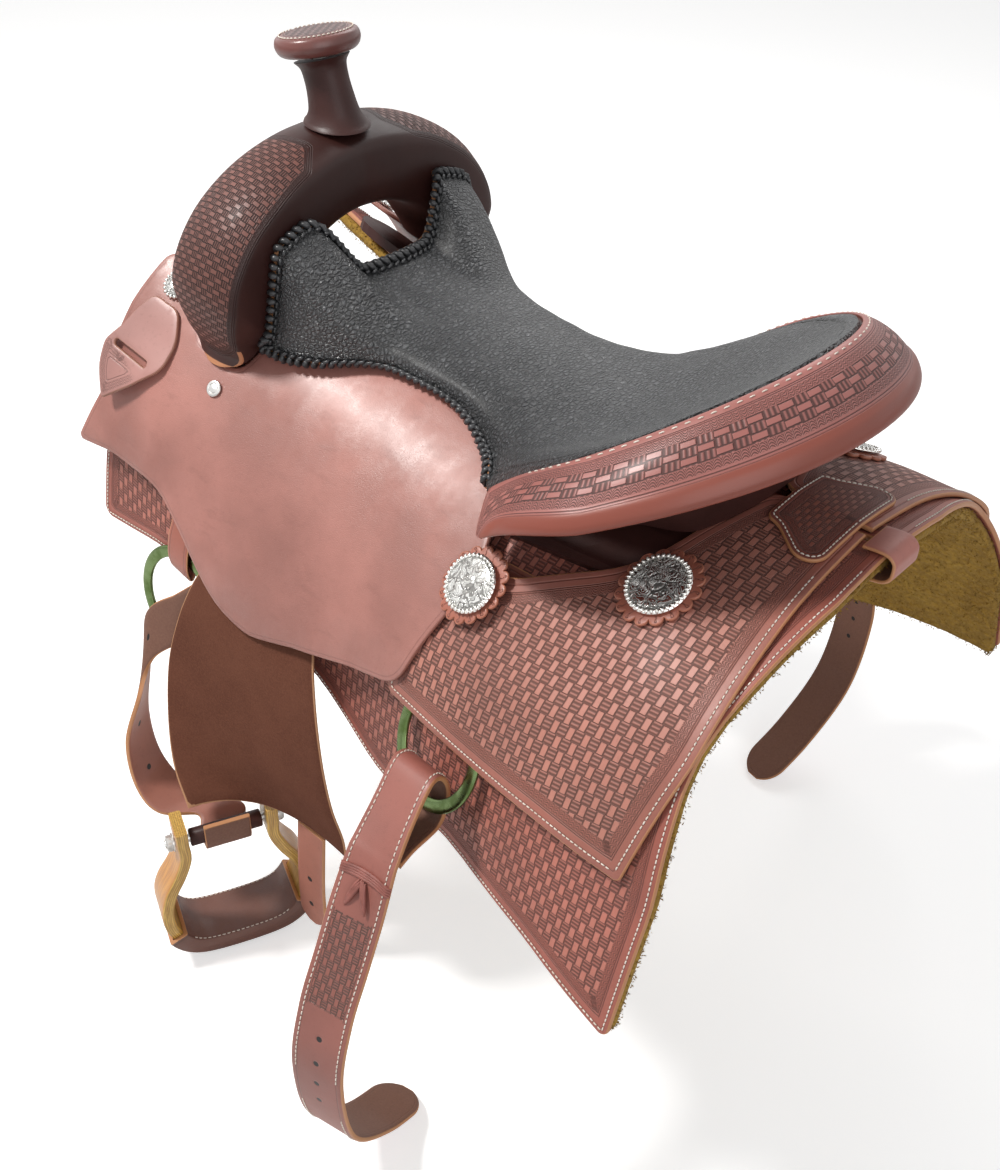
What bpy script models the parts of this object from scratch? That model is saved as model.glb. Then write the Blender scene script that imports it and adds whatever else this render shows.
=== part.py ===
"""Reining saddle: tree, leather, seat, rigging, fenders and stirrups as separate pieces.

Sizes below are millimetres and are turned into metres where a mesh is made. X points to the
horse's head, Y to the horse's near (left) side and Z up. The origin lies on the spine line
under the middle of the seat.
"""

from math import atan2, ceil, cos, floor, pi, radians, sin, sqrt, tan

import bmesh
import bpy
from mathutils import Matrix, Vector

MM = 0.001
NEAR, OFF = 1, -1
SIDES = ((NEAR, "L"), (OFF, "R"))

# The horse's back: height of its spine line, and the slope of its sides in degrees at stations
# measured from the spine line round the body
BACK_HEIGHT = 45.0
BACK_RISE = 0.111
BACK_DIP = 3.4e-4
ROUND_BODY = (0, 60, 112, 198, 258, 314, 388, 480, 560)
SLOPE_REAR = (3, 10, 22, 38, 56, 67, 71, 72, 72)
SLOPE_MIDDLE = (10, 22, 35, 58, 72, 80, 83, 84, 84)
SLOPE_FRONT = (18, 26, 34, 58, 70, 78, 82, 84, 84)
REAR_X, FRONT_X = -400.0, 310.0
STATION_X, STATION_S = 50.0, 40.0

# Leather, lining and gaps
GAP = 0.6
SKIRT_THICK = 5.0
FLEECE_THICK = 12.0
FLEECE_GAP = 1.0
JOCKEY_THICK = 4.2
FENDER_THICK = 4.5
STRAP_THICK = 4.5
BAR_HEIGHT = 9.4
UNDER_REAR_JOCKEY = 10.1
UNDER_SEAT_JOCKEY = 15.0

# Seat
SEAT_THICK = 8.0
SEAT_FRONT_X, SEAT_TIP_X = 151.0, -118.0
SEAT_EDGE_AT = (0, 0.1, 0.21, 0.3, 0.38, 0.5, 0.65, 0.77, 0.87, 0.95, 1)
SEAT_EDGE_S = (122, 117, 104, 87, 76, 70, 69, 76, 88, 102, 118)
SEAT_MIDDLE_AT = (0, 0.1, 0.25, 0.45, 0.6, 0.72, 0.82, 0.92, 1)
SEAT_MIDDLE_X = -100.0
SEAT_EAR = 52.0
HAND_NOTCH = 30.0
CANTLE_DEPTH = 198.0
CANTLE_SPREAD = 0.2
CANTLE_TOP_Z = 182.0
SEAT_MIDDLE_Z = (100, 90, 79, 69, 66, 71, 90, 134, CANTLE_TOP_Z)
ROLL_WIDTH, ROLL_TIP_WIDTH = 50.0, 45.0
ROLL_END_ANGLE = 74.0
ROLL_DROP = 32.0
ROLL_THICK = 15.0
BACK_THICK = 4.0

# Fork and horn
SWELL_HALF_WIDTH = 166.0
COVER_THICK = 4.0
HORN_BASE = (183.0, 0.0, 192.0)
HORN_CAP = (205.0, 0.0, 264.0)
HORN_CAP_TILT = 12.0
HORN_CORE_RADIUS = 7.6

# Rigging
RING_RADIUS, RING_BAND, RING_THICK = 54.0, 12.0, 5.0
FRONT_RING = (188.0, 386.0, 10.5, 4.0)
REAR_RING = (-166.0, 306.0, 10.7, 9.0)
RIG_THICK = 2.4
BILLET_WIDTH = 50.0

# Stirrups
BOLT_CENTRE = (92.0, 272.0, -418.0)
STIRRUP_TURN = 66.0
STIRRUP_DEPTH = 50.0
BOW_THICK = 12.0
BOW_TOP_DEPTH = 34.0
BOW_PATH = ((45, 24), (45, 6), (45, -14), (53, -36), (66, -60), (72, -84), (69, -108))
BOW_PATH += ((54, -130), (28, -139))
TREAD_FROM_Z = -112.0
TREAD_COVER, TREAD_GAP = 4.2, 0.5
BOLT_RADIUS = 4.0
BOLT_HEAD_AT, BOLT_HEAD = 52.0, 7.0
ROLLER_HALF = 36.0
ROLLER_RADIUS = 9.0
LEATHER_WIDTH = 46.0


def clear_scene():
    for obj in list(bpy.data.objects):
        bpy.data.objects.remove(obj, do_unlink=True)


def ramp(value, start, end):
    """0 at start, 1 at end, with a smooth run between."""
    t = min(max((value - start) / (end - start), 0.0), 1.0)
    return t * t * (3 - 2 * t)


def table(value, at, values):
    """Straight-line reading between the given stations."""
    if value <= at[0]:
        return values[0]
    for i in range(1, len(at)):
        if value <= at[i]:
            t = (value - at[i - 1]) / (at[i] - at[i - 1])
            return values[i - 1] + (values[i] - values[i - 1]) * t
    return values[-1]


def spine_height(x):
    return BACK_HEIGHT + BACK_RISE * x + BACK_DIP * x * x


def side_slope(x, s):
    """Slope of the horse's side, in radians, at s round the body from the spine line."""
    middle = table(s, ROUND_BODY, SLOPE_MIDDLE)
    if x <= 0:
        return radians(middle + (table(s, ROUND_BODY, SLOPE_REAR) - middle) * ramp(x, 0, REAR_X))
    return radians(middle + (table(s, ROUND_BODY, SLOPE_FRONT) - middle) * min(x / FRONT_X, 1.2))


def section_point(x, s):
    """Point of the skirt's upper face and its outward direction, at x and s round the body."""
    steps = max(int(s / 8), 1)
    y, z = 0.0, spine_height(x)
    for i in range(steps):
        slope = side_slope(x, s * (i + 0.5) / steps)
        y += cos(slope) * s / steps
        z -= sin(slope) * s / steps
    slope = side_slope(x, s)
    return Vector((x, y, z)), Vector((0, sin(slope), cos(slope)))


STATIONS = {}


def station(i, j):
    if (i, j) not in STATIONS:
        STATIONS[i, j] = section_point(i * STATION_X, j * STATION_S)
    return STATIONS[i, j]


def drape(x, s, height):
    """Point at a height over the horse's side; height is a number or a function of x and s."""
    i, j = floor(x / STATION_X), floor(abs(s) / STATION_S)
    u, v = x / STATION_X - i, abs(s) / STATION_S - j
    total = Vector((0, 0, 0))
    for di, wi in ((0, 1 - u), (1, u)):
        for dj, wj in ((0, 1 - v), (1, v)):
            point, outward = station(i + di, j + dj)
            h = height
            if callable(height):
                h = height((i + di) * STATION_X, (j + dj) * STATION_S)
            total += (point + outward * h) * (wi * wj)
    if s < 0:
        total.y = -total.y
    return total


def frame_on_side(x, s, height, side):
    """Matrix whose Z points out of the horse's side and whose X points to the head."""
    here = drape(x, s, height)
    ahead = (drape(x + 20, s, height) - drape(x - 20, s, height)).normalized()
    down = (drape(x, s + 20, height) - drape(x, s - 20, height)).normalized()
    out = ahead.cross(down)
    out = -out if out.y < 0 else out
    out.normalize()
    if side == OFF:
        here.y, ahead.y, out.y = -here.y, -ahead.y, -out.y
    return frame(here, out, ahead)


def frame(origin, up, ahead):
    up = Vector(up).normalized()
    ahead = Vector(ahead)
    ahead = (ahead - up * ahead.dot(up)).normalized()
    across = up.cross(ahead)
    matrix = Matrix((ahead, across, up)).transposed().to_4x4()
    matrix.translation = Vector(origin)
    return matrix


# Materials


def finish(name, colour, roughness, metallic=0.0):
    material = bpy.data.materials.get(name) or bpy.data.materials.new(name)
    material.use_nodes = True
    shader = material.node_tree.nodes["Principled BSDF"]
    shader.inputs["Base Color"].default_value = (*colour, 1)
    shader.inputs["Roughness"].default_value = roughness
    shader.inputs["Metallic"].default_value = metallic
    material.diffuse_color = (*colour, 1)
    return material


COLOURS = {
    "russet_leather": ((0.30, 0.085, 0.055), 0.5, 0),
    "dark_leather": ((0.13, 0.04, 0.03), 0.45, 0),
    "rough_leather": ((0.20, 0.09, 0.055), 0.9, 0),
    "black_leather": ((0.02, 0.022, 0.025), 0.45, 0),
    "fleece": ((0.72, 0.55, 0.27), 0.95, 0),
    "wood": ((0.72, 0.45, 0.17), 0.45, 0),
    "steel": ((0.75, 0.75, 0.74), 0.3, 1),
    "silver": ((0.86, 0.85, 0.82), 0.2, 1),
    "ring_metal": ((0.30, 0.36, 0.24), 0.3, 1),
}


# Making objects


def add_object(name, points, faces, material, origin=(0, 0, 0)):
    """A closed mesh with its faces turned out; origin is the object's own centre."""
    origin = Vector(origin)
    mesh = bpy.data.meshes.new(name)
    mesh.from_pydata([(Vector(p) - origin) * MM for p in points], [], faces)
    bm = bmesh.new()
    bm.from_mesh(mesh)
    bmesh.ops.recalc_face_normals(bm, faces=bm.faces)
    bm.to_mesh(mesh)
    bm.free()
    mesh.shade_smooth()
    mesh.set_sharp_from_angle(angle=radians(35))
    mesh.materials.append(finish(material + "_" + name, *COLOURS[material]))
    obj = bpy.data.objects.new(name, mesh)
    obj.location = origin * MM
    bpy.context.scene.collection.objects.link(obj)
    return obj


def mirrored(points, side):
    return [Vector((p[0], p[1] * side, p[2])) for p in points]


def loft(rings, closed=False):
    """Points and faces of a skin over rings of equal count, with flat ends unless closed."""
    count = len(rings[0])
    points = [p for ring in rings for p in ring]
    faces = []
    rows = len(rings) if closed else len(rings) - 1
    for r in range(rows):
        a, b = r * count, (r + 1) % len(rings) * count
        for k in range(count):
            n = (k + 1) % count
            faces.append((a + k, a + n, b + n, b + k))
    if not closed:
        faces.append(tuple(range(count)))
        faces.append(tuple(range(len(points) - count, len(points))))
    return points, faces


def tube_faces(rows, count):
    """Faces of an open tube with a wall: the outer rings' points come first, then the inner ones'."""
    shift = rows * count
    faces = []
    for r in range(rows - 1):
        a, b = r * count, (r + 1) * count
        for k in range(count):
            n = (k + 1) % count
            faces.append((a + k, a + n, b + n, b + k))
            faces.append((a + k + shift, b + k + shift, b + n + shift, a + n + shift))
    for a in (0, (rows - 1) * count):
        for k in range(count):
            n = (k + 1) % count
            faces.append((a + k, a + n, a + n + shift, a + k + shift))
    return faces


def sheet(rows, thickness, outward):
    """Points and faces of a sheet: rows of points on its face, thickened against outward."""
    back = []
    for r, row in enumerate(rows):
        back.append([])
        for k, p in enumerate(row):
            along = rows[min(r + 1, len(rows) - 1)][k] - rows[max(r - 1, 0)][k]
            across = row[min(k + 1, len(row) - 1)] - row[max(k - 1, 0)]
            normal = along.cross(across).normalized()
            normal = -normal if normal.dot(outward(p)) < 0 else normal
            back[-1].append(p - normal * thickness)
    rings = [row + under[::-1] for row, under in zip(rows, back)]
    count = len(rows[0])
    points = [p for ring in rings for p in ring]
    faces = []
    for r in range(len(rings) - 1):
        a, b = r * 2 * count, (r + 1) * 2 * count
        for k in range(2 * count):
            n = (k + 1) % (2 * count)
            faces.append((a + k, a + n, b + n, b + k))
    for start in (0, (len(rings) - 1) * 2 * count):
        for k in range(count - 1):
            under = start + 2 * count - 1 - k
            faces.append((start + k, start + k + 1, under - 1, under))
    return points, faces


def turned(profile, place, steps, wave=None):
    """Points and faces of a profile of (radius, height) turned about Z of the place matrix.

    The profile starts and ends on the axis; wave gives the radius a factor by angle.
    """
    rings = []
    for radius, height in profile:
        ring = []
        for k in range(steps):
            a = 2 * pi * k / steps
            r = radius * (wave(a) if wave else 1)
            ring.append(place @ Vector((r * cos(a), r * sin(a), height)))
        rings.append(ring)
    return loft(rings)


def band_ring(radius, band, thick, place, steps=24):
    """A flat round ring about Z of the place matrix, with rounded rims."""
    rings = []
    section = [(-0.5, -0.25), (-0.25, -0.5), (0.25, -0.5), (0.5, -0.25)]
    section += [(-r, -h) for r, h in section]
    for k in range(steps):
        a = 2 * pi * k / steps
        ring = []
        for across, height in section:
            r = radius - band / 2 + across * band
            ring.append(place @ Vector((r * cos(a), r * sin(a), height * thick)))
        rings.append(ring)
    return loft(rings, closed=True)


def rounded(corners, step=28.0):
    """Outline through corners (x, s, radius), each rounded by an arc of its radius."""
    outline = []
    count = len(corners)
    for i, (x, s, radius) in enumerate(corners):
        here = Vector((x, s))
        before = Vector(corners[i - 1][:2]) - here
        after = Vector(corners[(i + 1) % count][:2]) - here
        turn = pi - before.angle(after)
        reach = radius * tan(turn / 2)
        limit = 0.49 * min(before.length, after.length)
        if reach > limit:
            reach = limit
            radius = reach / tan(turn / 2)
        if reach < 0.5:
            outline.append(here)
            continue
        start = here + before.normalized() * reach
        end = here + after.normalized() * reach
        middle = (before.normalized() + after.normalized()).normalized()
        centre = here + middle * sqrt(radius * radius + reach * reach)
        pieces = max(1, ceil(turn / radians(step)))
        first, last = start - centre, end - centre
        swing = first.angle_signed(last)
        for k in range(pieces + 1):
            a = -swing * k / pieces
            outline.append(
                centre
                + Vector((first.x * cos(a) - first.y * sin(a), first.x * sin(a) + first.y * cos(a)))
            )
    return outline


def leather(name, outline, lower, upper, material, side=NEAR, origin=(0, 0, 0)):
    """A piece cut flat to its outline (x, s) and wrapped over the horse's side between heights."""
    flat = bmesh.new()
    flat.faces.new([flat.verts.new((p[0], p[1], 0)) for p in outline])
    for axis, pitch in ((0, STATION_X), (1, STATION_S)):
        values = [p[axis] for p in outline]
        for k in range(ceil(min(values) / pitch), floor(max(values) / pitch) + 1):
            normal = [0, 0, 0]
            normal[axis] = 1
            geometry = flat.verts[:] + flat.edges[:] + flat.faces[:]
            bmesh.ops.bisect_plane(
                flat,
                geom=geometry,
                plane_co=[n * k * pitch for n in normal],
                plane_no=normal,
                dist=0.01,
            )
    flat.verts.index_update()
    cut = [(v.co.x, v.co.y) for v in flat.verts]
    points = [drape(x, s, upper) for x, s in cut] + [drape(x, s, lower) for x, s in cut]
    faces = []
    for face in flat.faces:
        loop = [v.index for v in face.verts]
        faces.append(tuple(loop))
        faces.append(tuple(k + len(cut) for k in reversed(loop)))
    for edge in flat.edges:
        if len(edge.link_faces) == 1:
            a, b = (v.index for v in edge.verts)
            faces.append((a, b, b + len(cut), a + len(cut)))
    flat.free()
    return add_object(name, mirrored(points, side), faces, material, origin)


# Heights of the layers over the skirt, outward from the horse


def under_rear_jockey(x, s):
    over_ring = 5.8 * ramp(s, 190, 240) * ramp(x, -320, -250)
    return GAP + (UNDER_REAR_JOCKEY - GAP) * ramp(x, -390, -300) + over_ring


def over_rear_jockey(x, s):
    return under_rear_jockey(x, s) + JOCKEY_THICK


def bar_top(x, s):
    return under_rear_jockey(x, s) - GAP


def under_seat_jockey(x, s):
    over_straps = 5.5 * ramp(s, 160, 240) * ramp(x, 280, 220)
    over_fender = 6.0 * ramp(s, 240, 310) * ramp(x, -60, 10) * ramp(x, 240, 170)
    return UNDER_SEAT_JOCKEY + over_straps + over_fender


def over_seat_jockey(x, s):
    return under_seat_jockey(x, s) + JOCKEY_THICK


# Seat surface: rows run from the fork to the cantle, each from the near edge over the middle


def seat_edge(v):
    """Near edge of the seat at v, 0 at the fork and 1 at the cantle's tip."""
    x = SEAT_FRONT_X + (SEAT_TIP_X - SEAT_FRONT_X) * v
    s = table(v, SEAT_EDGE_AT, SEAT_EDGE_S)
    height = under_seat_jockey(x, s) + JOCKEY_THICK + GAP + SEAT_THICK
    return drape(x, s, height + 8 * ramp(v, 0.85, 1))


def seat_point(v, u):
    """Upper face of the seat; u runs from -1 at the off edge to 1 at the near edge."""
    across = sin(u * pi / 2)
    arch = max(cos(u * pi / 2), 0.0)
    edge = seat_edge(v)
    notch = HAND_NOTCH * (1 - min(abs(u) / 0.42, 1) ** 2) * (1 - v) ** 4
    setback = 10 * ramp(abs(u), 1, 0.9) * (1 - v) ** 4
    x = edge.x - notch - setback - CANTLE_DEPTH * v**1.5 * arch**0.83
    y = edge.y * across * (1 + CANTLE_SPREAD * ramp(v, 0.6, 1) * ramp(arch, 0, 0.5))
    middle = table(v, SEAT_MIDDLE_AT, SEAT_MIDDLE_Z)
    power = 0.6 + 0.25 * ramp(v, 0, 0.3) - 0.12 * ramp(v, 0.85, 1)
    z = edge.z + (middle - edge.z) * arch**power
    ear = ramp(abs(across), 0.28, 0.62) * ramp(abs(across), 1.0, 0.86)
    z += SEAT_EAR * ear * ramp(v, 0.34, 0.0)
    return Vector((x, y, z))


def seat_normal(v, u):
    step = 0.012
    v0, v1 = max(v - step, 0), min(v + step, 1)
    u0, u1 = max(u - step, -1), min(u + step, 1)
    along = seat_point(v1, u) - seat_point(v0, u)
    across = seat_point(v, u1) - seat_point(v, u0)
    return across.cross(along).normalized()


def seat_layer(rows, columns, depth_top, depth_bottom):
    """Rings of a layer under the seat's face, from the row values v and column values u."""
    rings = []
    for v in rows:
        thin = 1 - 0.35 * ramp(v, 0.95, 1)
        top = [seat_point(v, u) - seat_normal(v, u) * depth_top for u in columns]
        bottom = [seat_point(v, u) - seat_normal(v, u) * depth_bottom * thin for u in columns]
        rings.append((top, bottom))
    return rings


def slab(layers):
    """Points and faces of a closed slab from rows of (top, bottom) points."""
    count = len(layers[0][0])
    points = []
    for top, bottom in layers:
        points += top + bottom[::-1]
    faces = []
    width = 2 * count
    for r in range(len(layers) - 1):
        a, b = r * width, (r + 1) * width
        for k in range(width):
            n = (k + 1) % width
            faces.append((a + k, a + n, b + n, b + k))
    for start in (0, (len(layers) - 1) * width):
        for k in range(count - 1):
            under = start + width - 1 - k
            faces.append((start + k, start + k + 1, under - 1, under))
    return points, faces


def spread(start, end, count):
    return [start + (end - start) * k / (count - 1) for k in range(count)]


def make_seat():
    rows = [0, 0.04, 0.09, 0.15, 0.22, 0.32, 0.42, 0.52, 0.62, 0.72, 0.8, 0.87, 0.93, 0.97, 1]
    columns = [-1, -0.9, -0.78, -0.66, -0.54, -0.42, -0.3, -0.15]
    columns += [0] + [-u for u in reversed(columns)]
    add_object("seat_cover", *slab(seat_layer(rows, columns, 0, SEAT_THICK)), "black_leather")


def body_height(x, y, height):
    """Z of the surface at a height over the horse's back, at x and y."""
    low, high = 0.0, 300.0
    for _ in range(24):
        s = (low + high) / 2
        if drape(x, s, height).y < abs(y):
            low = s
        else:
            high = s
    return drape(x, low, height).z


def make_ground_seat():
    layers = []
    columns = spread(-0.42, 0.42, 7)
    for v in [0.15, 0.22, 0.32, 0.42, 0.52, 0.62, 0.72, 0.8]:
        top = [seat_point(v, u) - seat_normal(v, u) * (SEAT_THICK + 3.8) for u in columns]
        bottom = [
            Vector((p.x, p.y, min(body_height(p.x, p.y, BAR_HEIGHT + 2.5), p.z - 3))) for p in top
        ]
        layers.append((top, bottom))
    add_object("ground_seat", *slab(layers), "dark_leather")


def make_cantle_board():
    columns = spread(-0.8, 0.8, 11)
    layers = seat_layer([0.865, 0.9, 0.935, 0.965], columns, SEAT_THICK + 1.5, SEAT_THICK + 12)
    add_object("cantle_board", *slab(layers), "wood")


def rim(angle):
    """Inner edge of the cantle roll and the flat outward direction there."""
    u = angle / 90
    here = seat_point(1, u)
    ahead = seat_point(1, min(u + 0.01, 1)) - seat_point(1, max(u - 0.01, -1))
    out = Vector((-ahead.y, ahead.x, 0)).normalized()
    if out.dot(here - Vector((SEAT_MIDDLE_X, 0, 0))) < 0:
        out = -out
    out.x -= 0.35 * ramp(abs(angle), 60, 90)
    return here, out.normalized()


def make_cantle_roll():
    """Rolled leather rim of the cantle, blunt and rounded at both ends."""
    rings = []
    for angle in spread(-89, 89, 31):
        here, out = rim(angle)
        past = max(abs(angle) - ROLL_END_ANGLE, 0) / (90 - ROLL_END_ANGLE)
        end = sqrt(1 - min(past, 0.96) ** 2)
        wide = ROLL_TIP_WIDTH + (ROLL_WIDTH - ROLL_TIP_WIDTH) * cos(radians(angle))
        wide *= 0.25 + 0.75 * end
        drop = ROLL_DROP * (0.7 + 0.3 * cos(radians(angle)))
        thick = ROLL_THICK * (0.6 + 0.4 * end)
        ring = []
        for across, lift in (
            (0.05, 0.0),
            (0.3, 0.22),
            (0.62, 0.26),
            (0.88, 0.1),
            (1.0, -0.35),
            (0.93, -0.85),
            (0.65, -1.0),
            (0.36, -0.95),
            (0.22, -0.75),
        ):
            fall = drop * across**1.3
            ring.append(here + out * (wide * across + 1.0) + Vector((0, 0, lift * thick - fall + 1)))
        rings.append(ring)
    add_object("cantle_roll", *loft(rings), "russet_leather")


def make_cantle_back():
    """Leather facing from under the roll down to the rear jockeys."""
    layers = []
    for angle in spread(-56, 56, 15):
        here, out = rim(angle)
        high = here + out * 14 + Vector((0, 0, -29))
        low = here - out * (15 + 22 * ramp(abs(angle), 30, 50))
        low.z = body_height(low.x, low.y, UNDER_REAR_JOCKEY + JOCKEY_THICK + 1.4)
        middle = high.lerp(low, 0.5) - out * 2
        outer = [high, middle, low]
        layers.append((outer, [p - out * BACK_THICK for p in outer]))
    add_object("cantle_back", *slab(layers), "dark_leather")


# Fork, horn and gullet


SWELL_OUTER = ((0, 196), (44, 193), (90, 180), (130, 156))
SWELL_OUTER += ((156, 124), (165, 92), (159, 58), (147, 28))
SWELL_INNER = ((0, 128), (30, 125), (62, 112), (88, 88), (105, 64), (114, 48), (121, 40), (127, 33))
SWELL_AT = (0, 90, SWELL_HALF_WIDTH)
SWELL_REAR, SWELL_FRONT = (152, 147, 145), (232, 234, 236)
SWELL_FOOT = 6


def swell_section(outer, inner, rear, front, inset=0.0):
    """Closed section of the fork between two points of the arch."""
    outer, inner = Vector((0, *outer)), Vector((0, *inner))
    out = (outer - inner).normalized()
    outer, inner = outer - out * inset, inner + out * inset
    rear, front = rear + inset, front - inset
    middle = (outer + inner) / 2
    half = (outer - inner) / 2
    ring = []
    for across, lift in (
        (0.0, 0.55),
        (0.13, 0.85),
        (0.35, 1.0),
        (0.65, 1.0),
        (0.87, 0.82),
        (1.0, 0.4),
        (1.0, -0.5),
        (0.85, -1.0),
        (0.15, -1.0),
        (0.0, -0.55),
    ):
        point = middle + half * lift
        ring.append(Vector((rear + (front - rear) * across, point.y, point.z)))
    return ring


def swell_rings(inset, last):
    sides = []
    for k in range(last):
        outer, inner = SWELL_OUTER[k], SWELL_INNER[k]
        narrow = 9 * max(k - SWELL_FOOT + 1, 0)
        rear = table(outer[0], SWELL_AT, SWELL_REAR) + narrow
        front = table(outer[0], SWELL_AT, SWELL_FRONT) - narrow
        sides.append(swell_section(outer, inner, rear, front, inset))
    off = [[Vector((p.x, -p.y, p.z)) for p in ring] for ring in sides[:0:-1]]
    return off + sides


def make_swell():
    """Leather cover of the fork, open at its feet, with the hole that the horn stands in."""
    outer = swell_rings(0, len(SWELL_OUTER))
    inner = swell_rings(COVER_THICK, len(SWELL_OUTER))
    points = [p for ring in outer + inner for p in ring]
    faces = tube_faces(len(outer), len(outer[0]))
    cover = add_object("swell_cover", points, faces, "dark_leather")
    cut_with(cover, horn_hole(19.5))
    fork = swell_rings(COVER_THICK + 0.8, len(SWELL_OUTER))
    add_object("fork", *loft(fork), "wood")


def horn_axis():
    return (Vector(HORN_CAP) - Vector(HORN_BASE)).normalized()


def horn_hole(radius):
    """Cutter along the horn's axis."""
    place = frame(Vector(HORN_BASE) - horn_axis() * 3.8, horn_axis(), (1, 0, 0))
    points, faces = turned(((radius, 0), (radius, 40)), place, 20)
    cutter = add_object("horn_hole", points, faces, "steel")
    cutter.hide_render = True
    cutter.display_type = "WIRE"
    return cutter


def cut_with(obj, cutter):
    modifier = obj.modifiers.new("opening", "BOOLEAN")
    modifier.operation = "DIFFERENCE"
    modifier.object = cutter
    modifier.solver = "EXACT"


def make_horn():
    up = horn_axis()
    base = Vector(HORN_BASE)
    place = frame(base, up, (1, 0, 0))
    height = (Vector(HORN_CAP) - base).length
    neck = ((9.4, 6), (27, 6), (24, 9), (20.5, 18), (18.5, 32), (18, 44), (19, 54), (23, 60), (9, 60))
    rings = []
    for radius, z in neck:
        lean = Vector((0, 0, 1)).lerp(up, ramp(z, 6, 40))
        level = frame(base + up * z, lean, (1, 0, 0))
        stretch = 1.15 if radius > 10 else 1.0
        ring = []
        for k in range(20):
            a = 2 * pi * k / 20
            ring.append(level @ Vector((radius * stretch * cos(a), radius * sin(a), 0)))
        rings.append(ring)
    points, faces = loft(rings, closed=True)
    add_object("horn_neck", points, faces, "dark_leather")
    core = ((HORN_CORE_RADIUS, 2.6), (HORN_CORE_RADIUS, height - 14))
    add_object("horn_core", *turned(core, place, 16), "steel")
    tilt = Matrix.Rotation(radians(HORN_CAP_TILT), 4, "Y")
    tilt.translation = Vector(HORN_CAP)
    cap = ((30, -11), (33, -10), (36.3, -6), (37, -1), (35.5, 4), (31, 6.5), (16, 7.5))
    points, faces = turned(cap, tilt, 24)
    add_object("horn_cap", points, faces, "dark_leather")


# Skirts, jockeys and tree bars


SKIRT = (
    (-398, 3, 0),
    (-398, 72, 60),
    (-381, 215, 200),
    (-400, 330, 200),
    (-402, 448, 6),
    (-301, 414, 300),
    (-190, 389, 200),
    (-78, 393, 120),
    (10, 350, 120),
    (80, 338, 200),
    (236, 362, 200),
    (316, 388, 8),
    (314, 320, 100),
    (300, 165, 60),
    (292, 96, 20),
    (150, 60, 100),
    (-40, 26, 200),
    (-240, 3, 200),
)
REAR_JOCKEY = (
    (-376, 4, 0),
    (-378, 88, 80),
    (-384, 225, 150),
    (-371, 322, 5),
    (-264, 302, 400),
    (-98, 286, 10),
    (-98, 178, 20),
    (-176, 158, 60),
    (-262, 112, 80),
    (-298, 4, 20),
)
SEAT_JOCKEY = (
    (331, 311, 4),
    (287, 294, 60),
    (209, 276, 90),
    (169, 294, 90),
    (115, 333, 70),
    (70, 335, 60),
    (12, 309, 120),
    (-55, 289, 100),
    (-112, 275, 32),
    (-137, 204, 60),
    (-148, 176, 12),
    (-120, 100, 40),
    (-80, 62, 60),
    (-10, 50, 80),
    (70, 66, 60),
    (120, 94, 30),
    (156, 112, 12),
    (166, 150, 20),
    (222, 150, 20),
    (246, 112, 14),
    (296, 104, 16),
    (304, 165, 60),
    (306, 248, 16),
)


TREE_BAR = (
    (-335, 40, 30),
    (-335, 120, 30),
    (-120, 132, 60),
    (60, 118, 60),
    (240, 113, 25),
    (240, 62, 25),
    (60, 52, 60),
    (-120, 40, 60),
)


def make_skirts():
    for side, tag in SIDES:
        leather("skirt_" + tag, rounded(SKIRT), -SKIRT_THICK, 0, "russet_leather", side)
        top = -SKIRT_THICK - FLEECE_GAP
        leather("fleece_" + tag, rounded(SKIRT), top - FLEECE_THICK, top, "fleece", side)
        leather(
            "rear_jockey_" + tag,
            rounded(REAR_JOCKEY),
            under_rear_jockey,
            over_rear_jockey,
            "russet_leather",
            side,
        )
        leather(
            "seat_jockey_" + tag,
            rounded(SEAT_JOCKEY),
            under_seat_jockey,
            over_seat_jockey,
            "russet_leather",
            side,
        )


def make_bars():
    for side, tag in SIDES:
        leather("tree_bar_" + tag, rounded(TREE_BAR), GAP, bar_top, "wood", side)


def connector_lower(x, s):
    return over_rear_jockey(x, s) + GAP


def connector_upper(x, s):
    return connector_lower(x, s) + 3.6


def make_rear_connector():
    """Stitched piece that joins the rear jockeys behind the cantle."""
    half = ((-370, 0, 0), (-370, 52, 18), (-352, 58, 18), (-324, 38, 30), (-311, 34, 8), (-311, 0, 0))
    near = rounded(half)
    outline = near + [Vector((p.x, -p.y)) for p in reversed(near[1:-1])]
    leather("rear_connector", outline, connector_lower, connector_upper, "russet_leather")


def make_skirt_tie():
    """Leather loop round the rear edge that ties the skirts at the spine."""
    layers = []
    wide, thick = 34.0, 3.0
    front, rear = -381.0, -405.0
    for y in spread(-wide / 2, wide / 2, 5):
        low = -SKIRT_THICK - FLEECE_GAP - FLEECE_THICK - 1.2
        inner = [(front, 1.0), (rear, 1.0), (rear, low), (front, low)]
        top, back, bottom = 1.0 + thick, rear - thick, low - thick
        outer = [(front, top), (back, top), (back, bottom), (front, bottom)]
        path = outer + inner[::-1]
        layers.append([drape(x, y, h) for x, h in path])
    points = [p for ring in layers for p in ring]
    faces = []
    count = 8
    for r in range(len(layers) - 1):
        for k in range(count):
            n = (k + 1) % count
            a, b = r * count, (r + 1) * count
            faces.append((a + k, a + n, b + n, b + k))
    for a in (0, (len(layers) - 1) * count):
        for k in range(3):
            faces.append((a + k, a + k + 1, a + 6 - k, a + 7 - k))
    add_object("skirt_tie", points, faces, "russet_leather")


# Conchos, rosettes and screws


def scalloped(x, s, radius, scallops):
    outline = []
    steps = scallops * 4
    for k in range(steps):
        a = 2 * pi * k / steps
        r = radius * (0.94 + 0.06 * abs(sin(a * scallops / 2)))
        outline.append(Vector((x + r * cos(a), s + r * sin(a))))
    return outline


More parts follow.
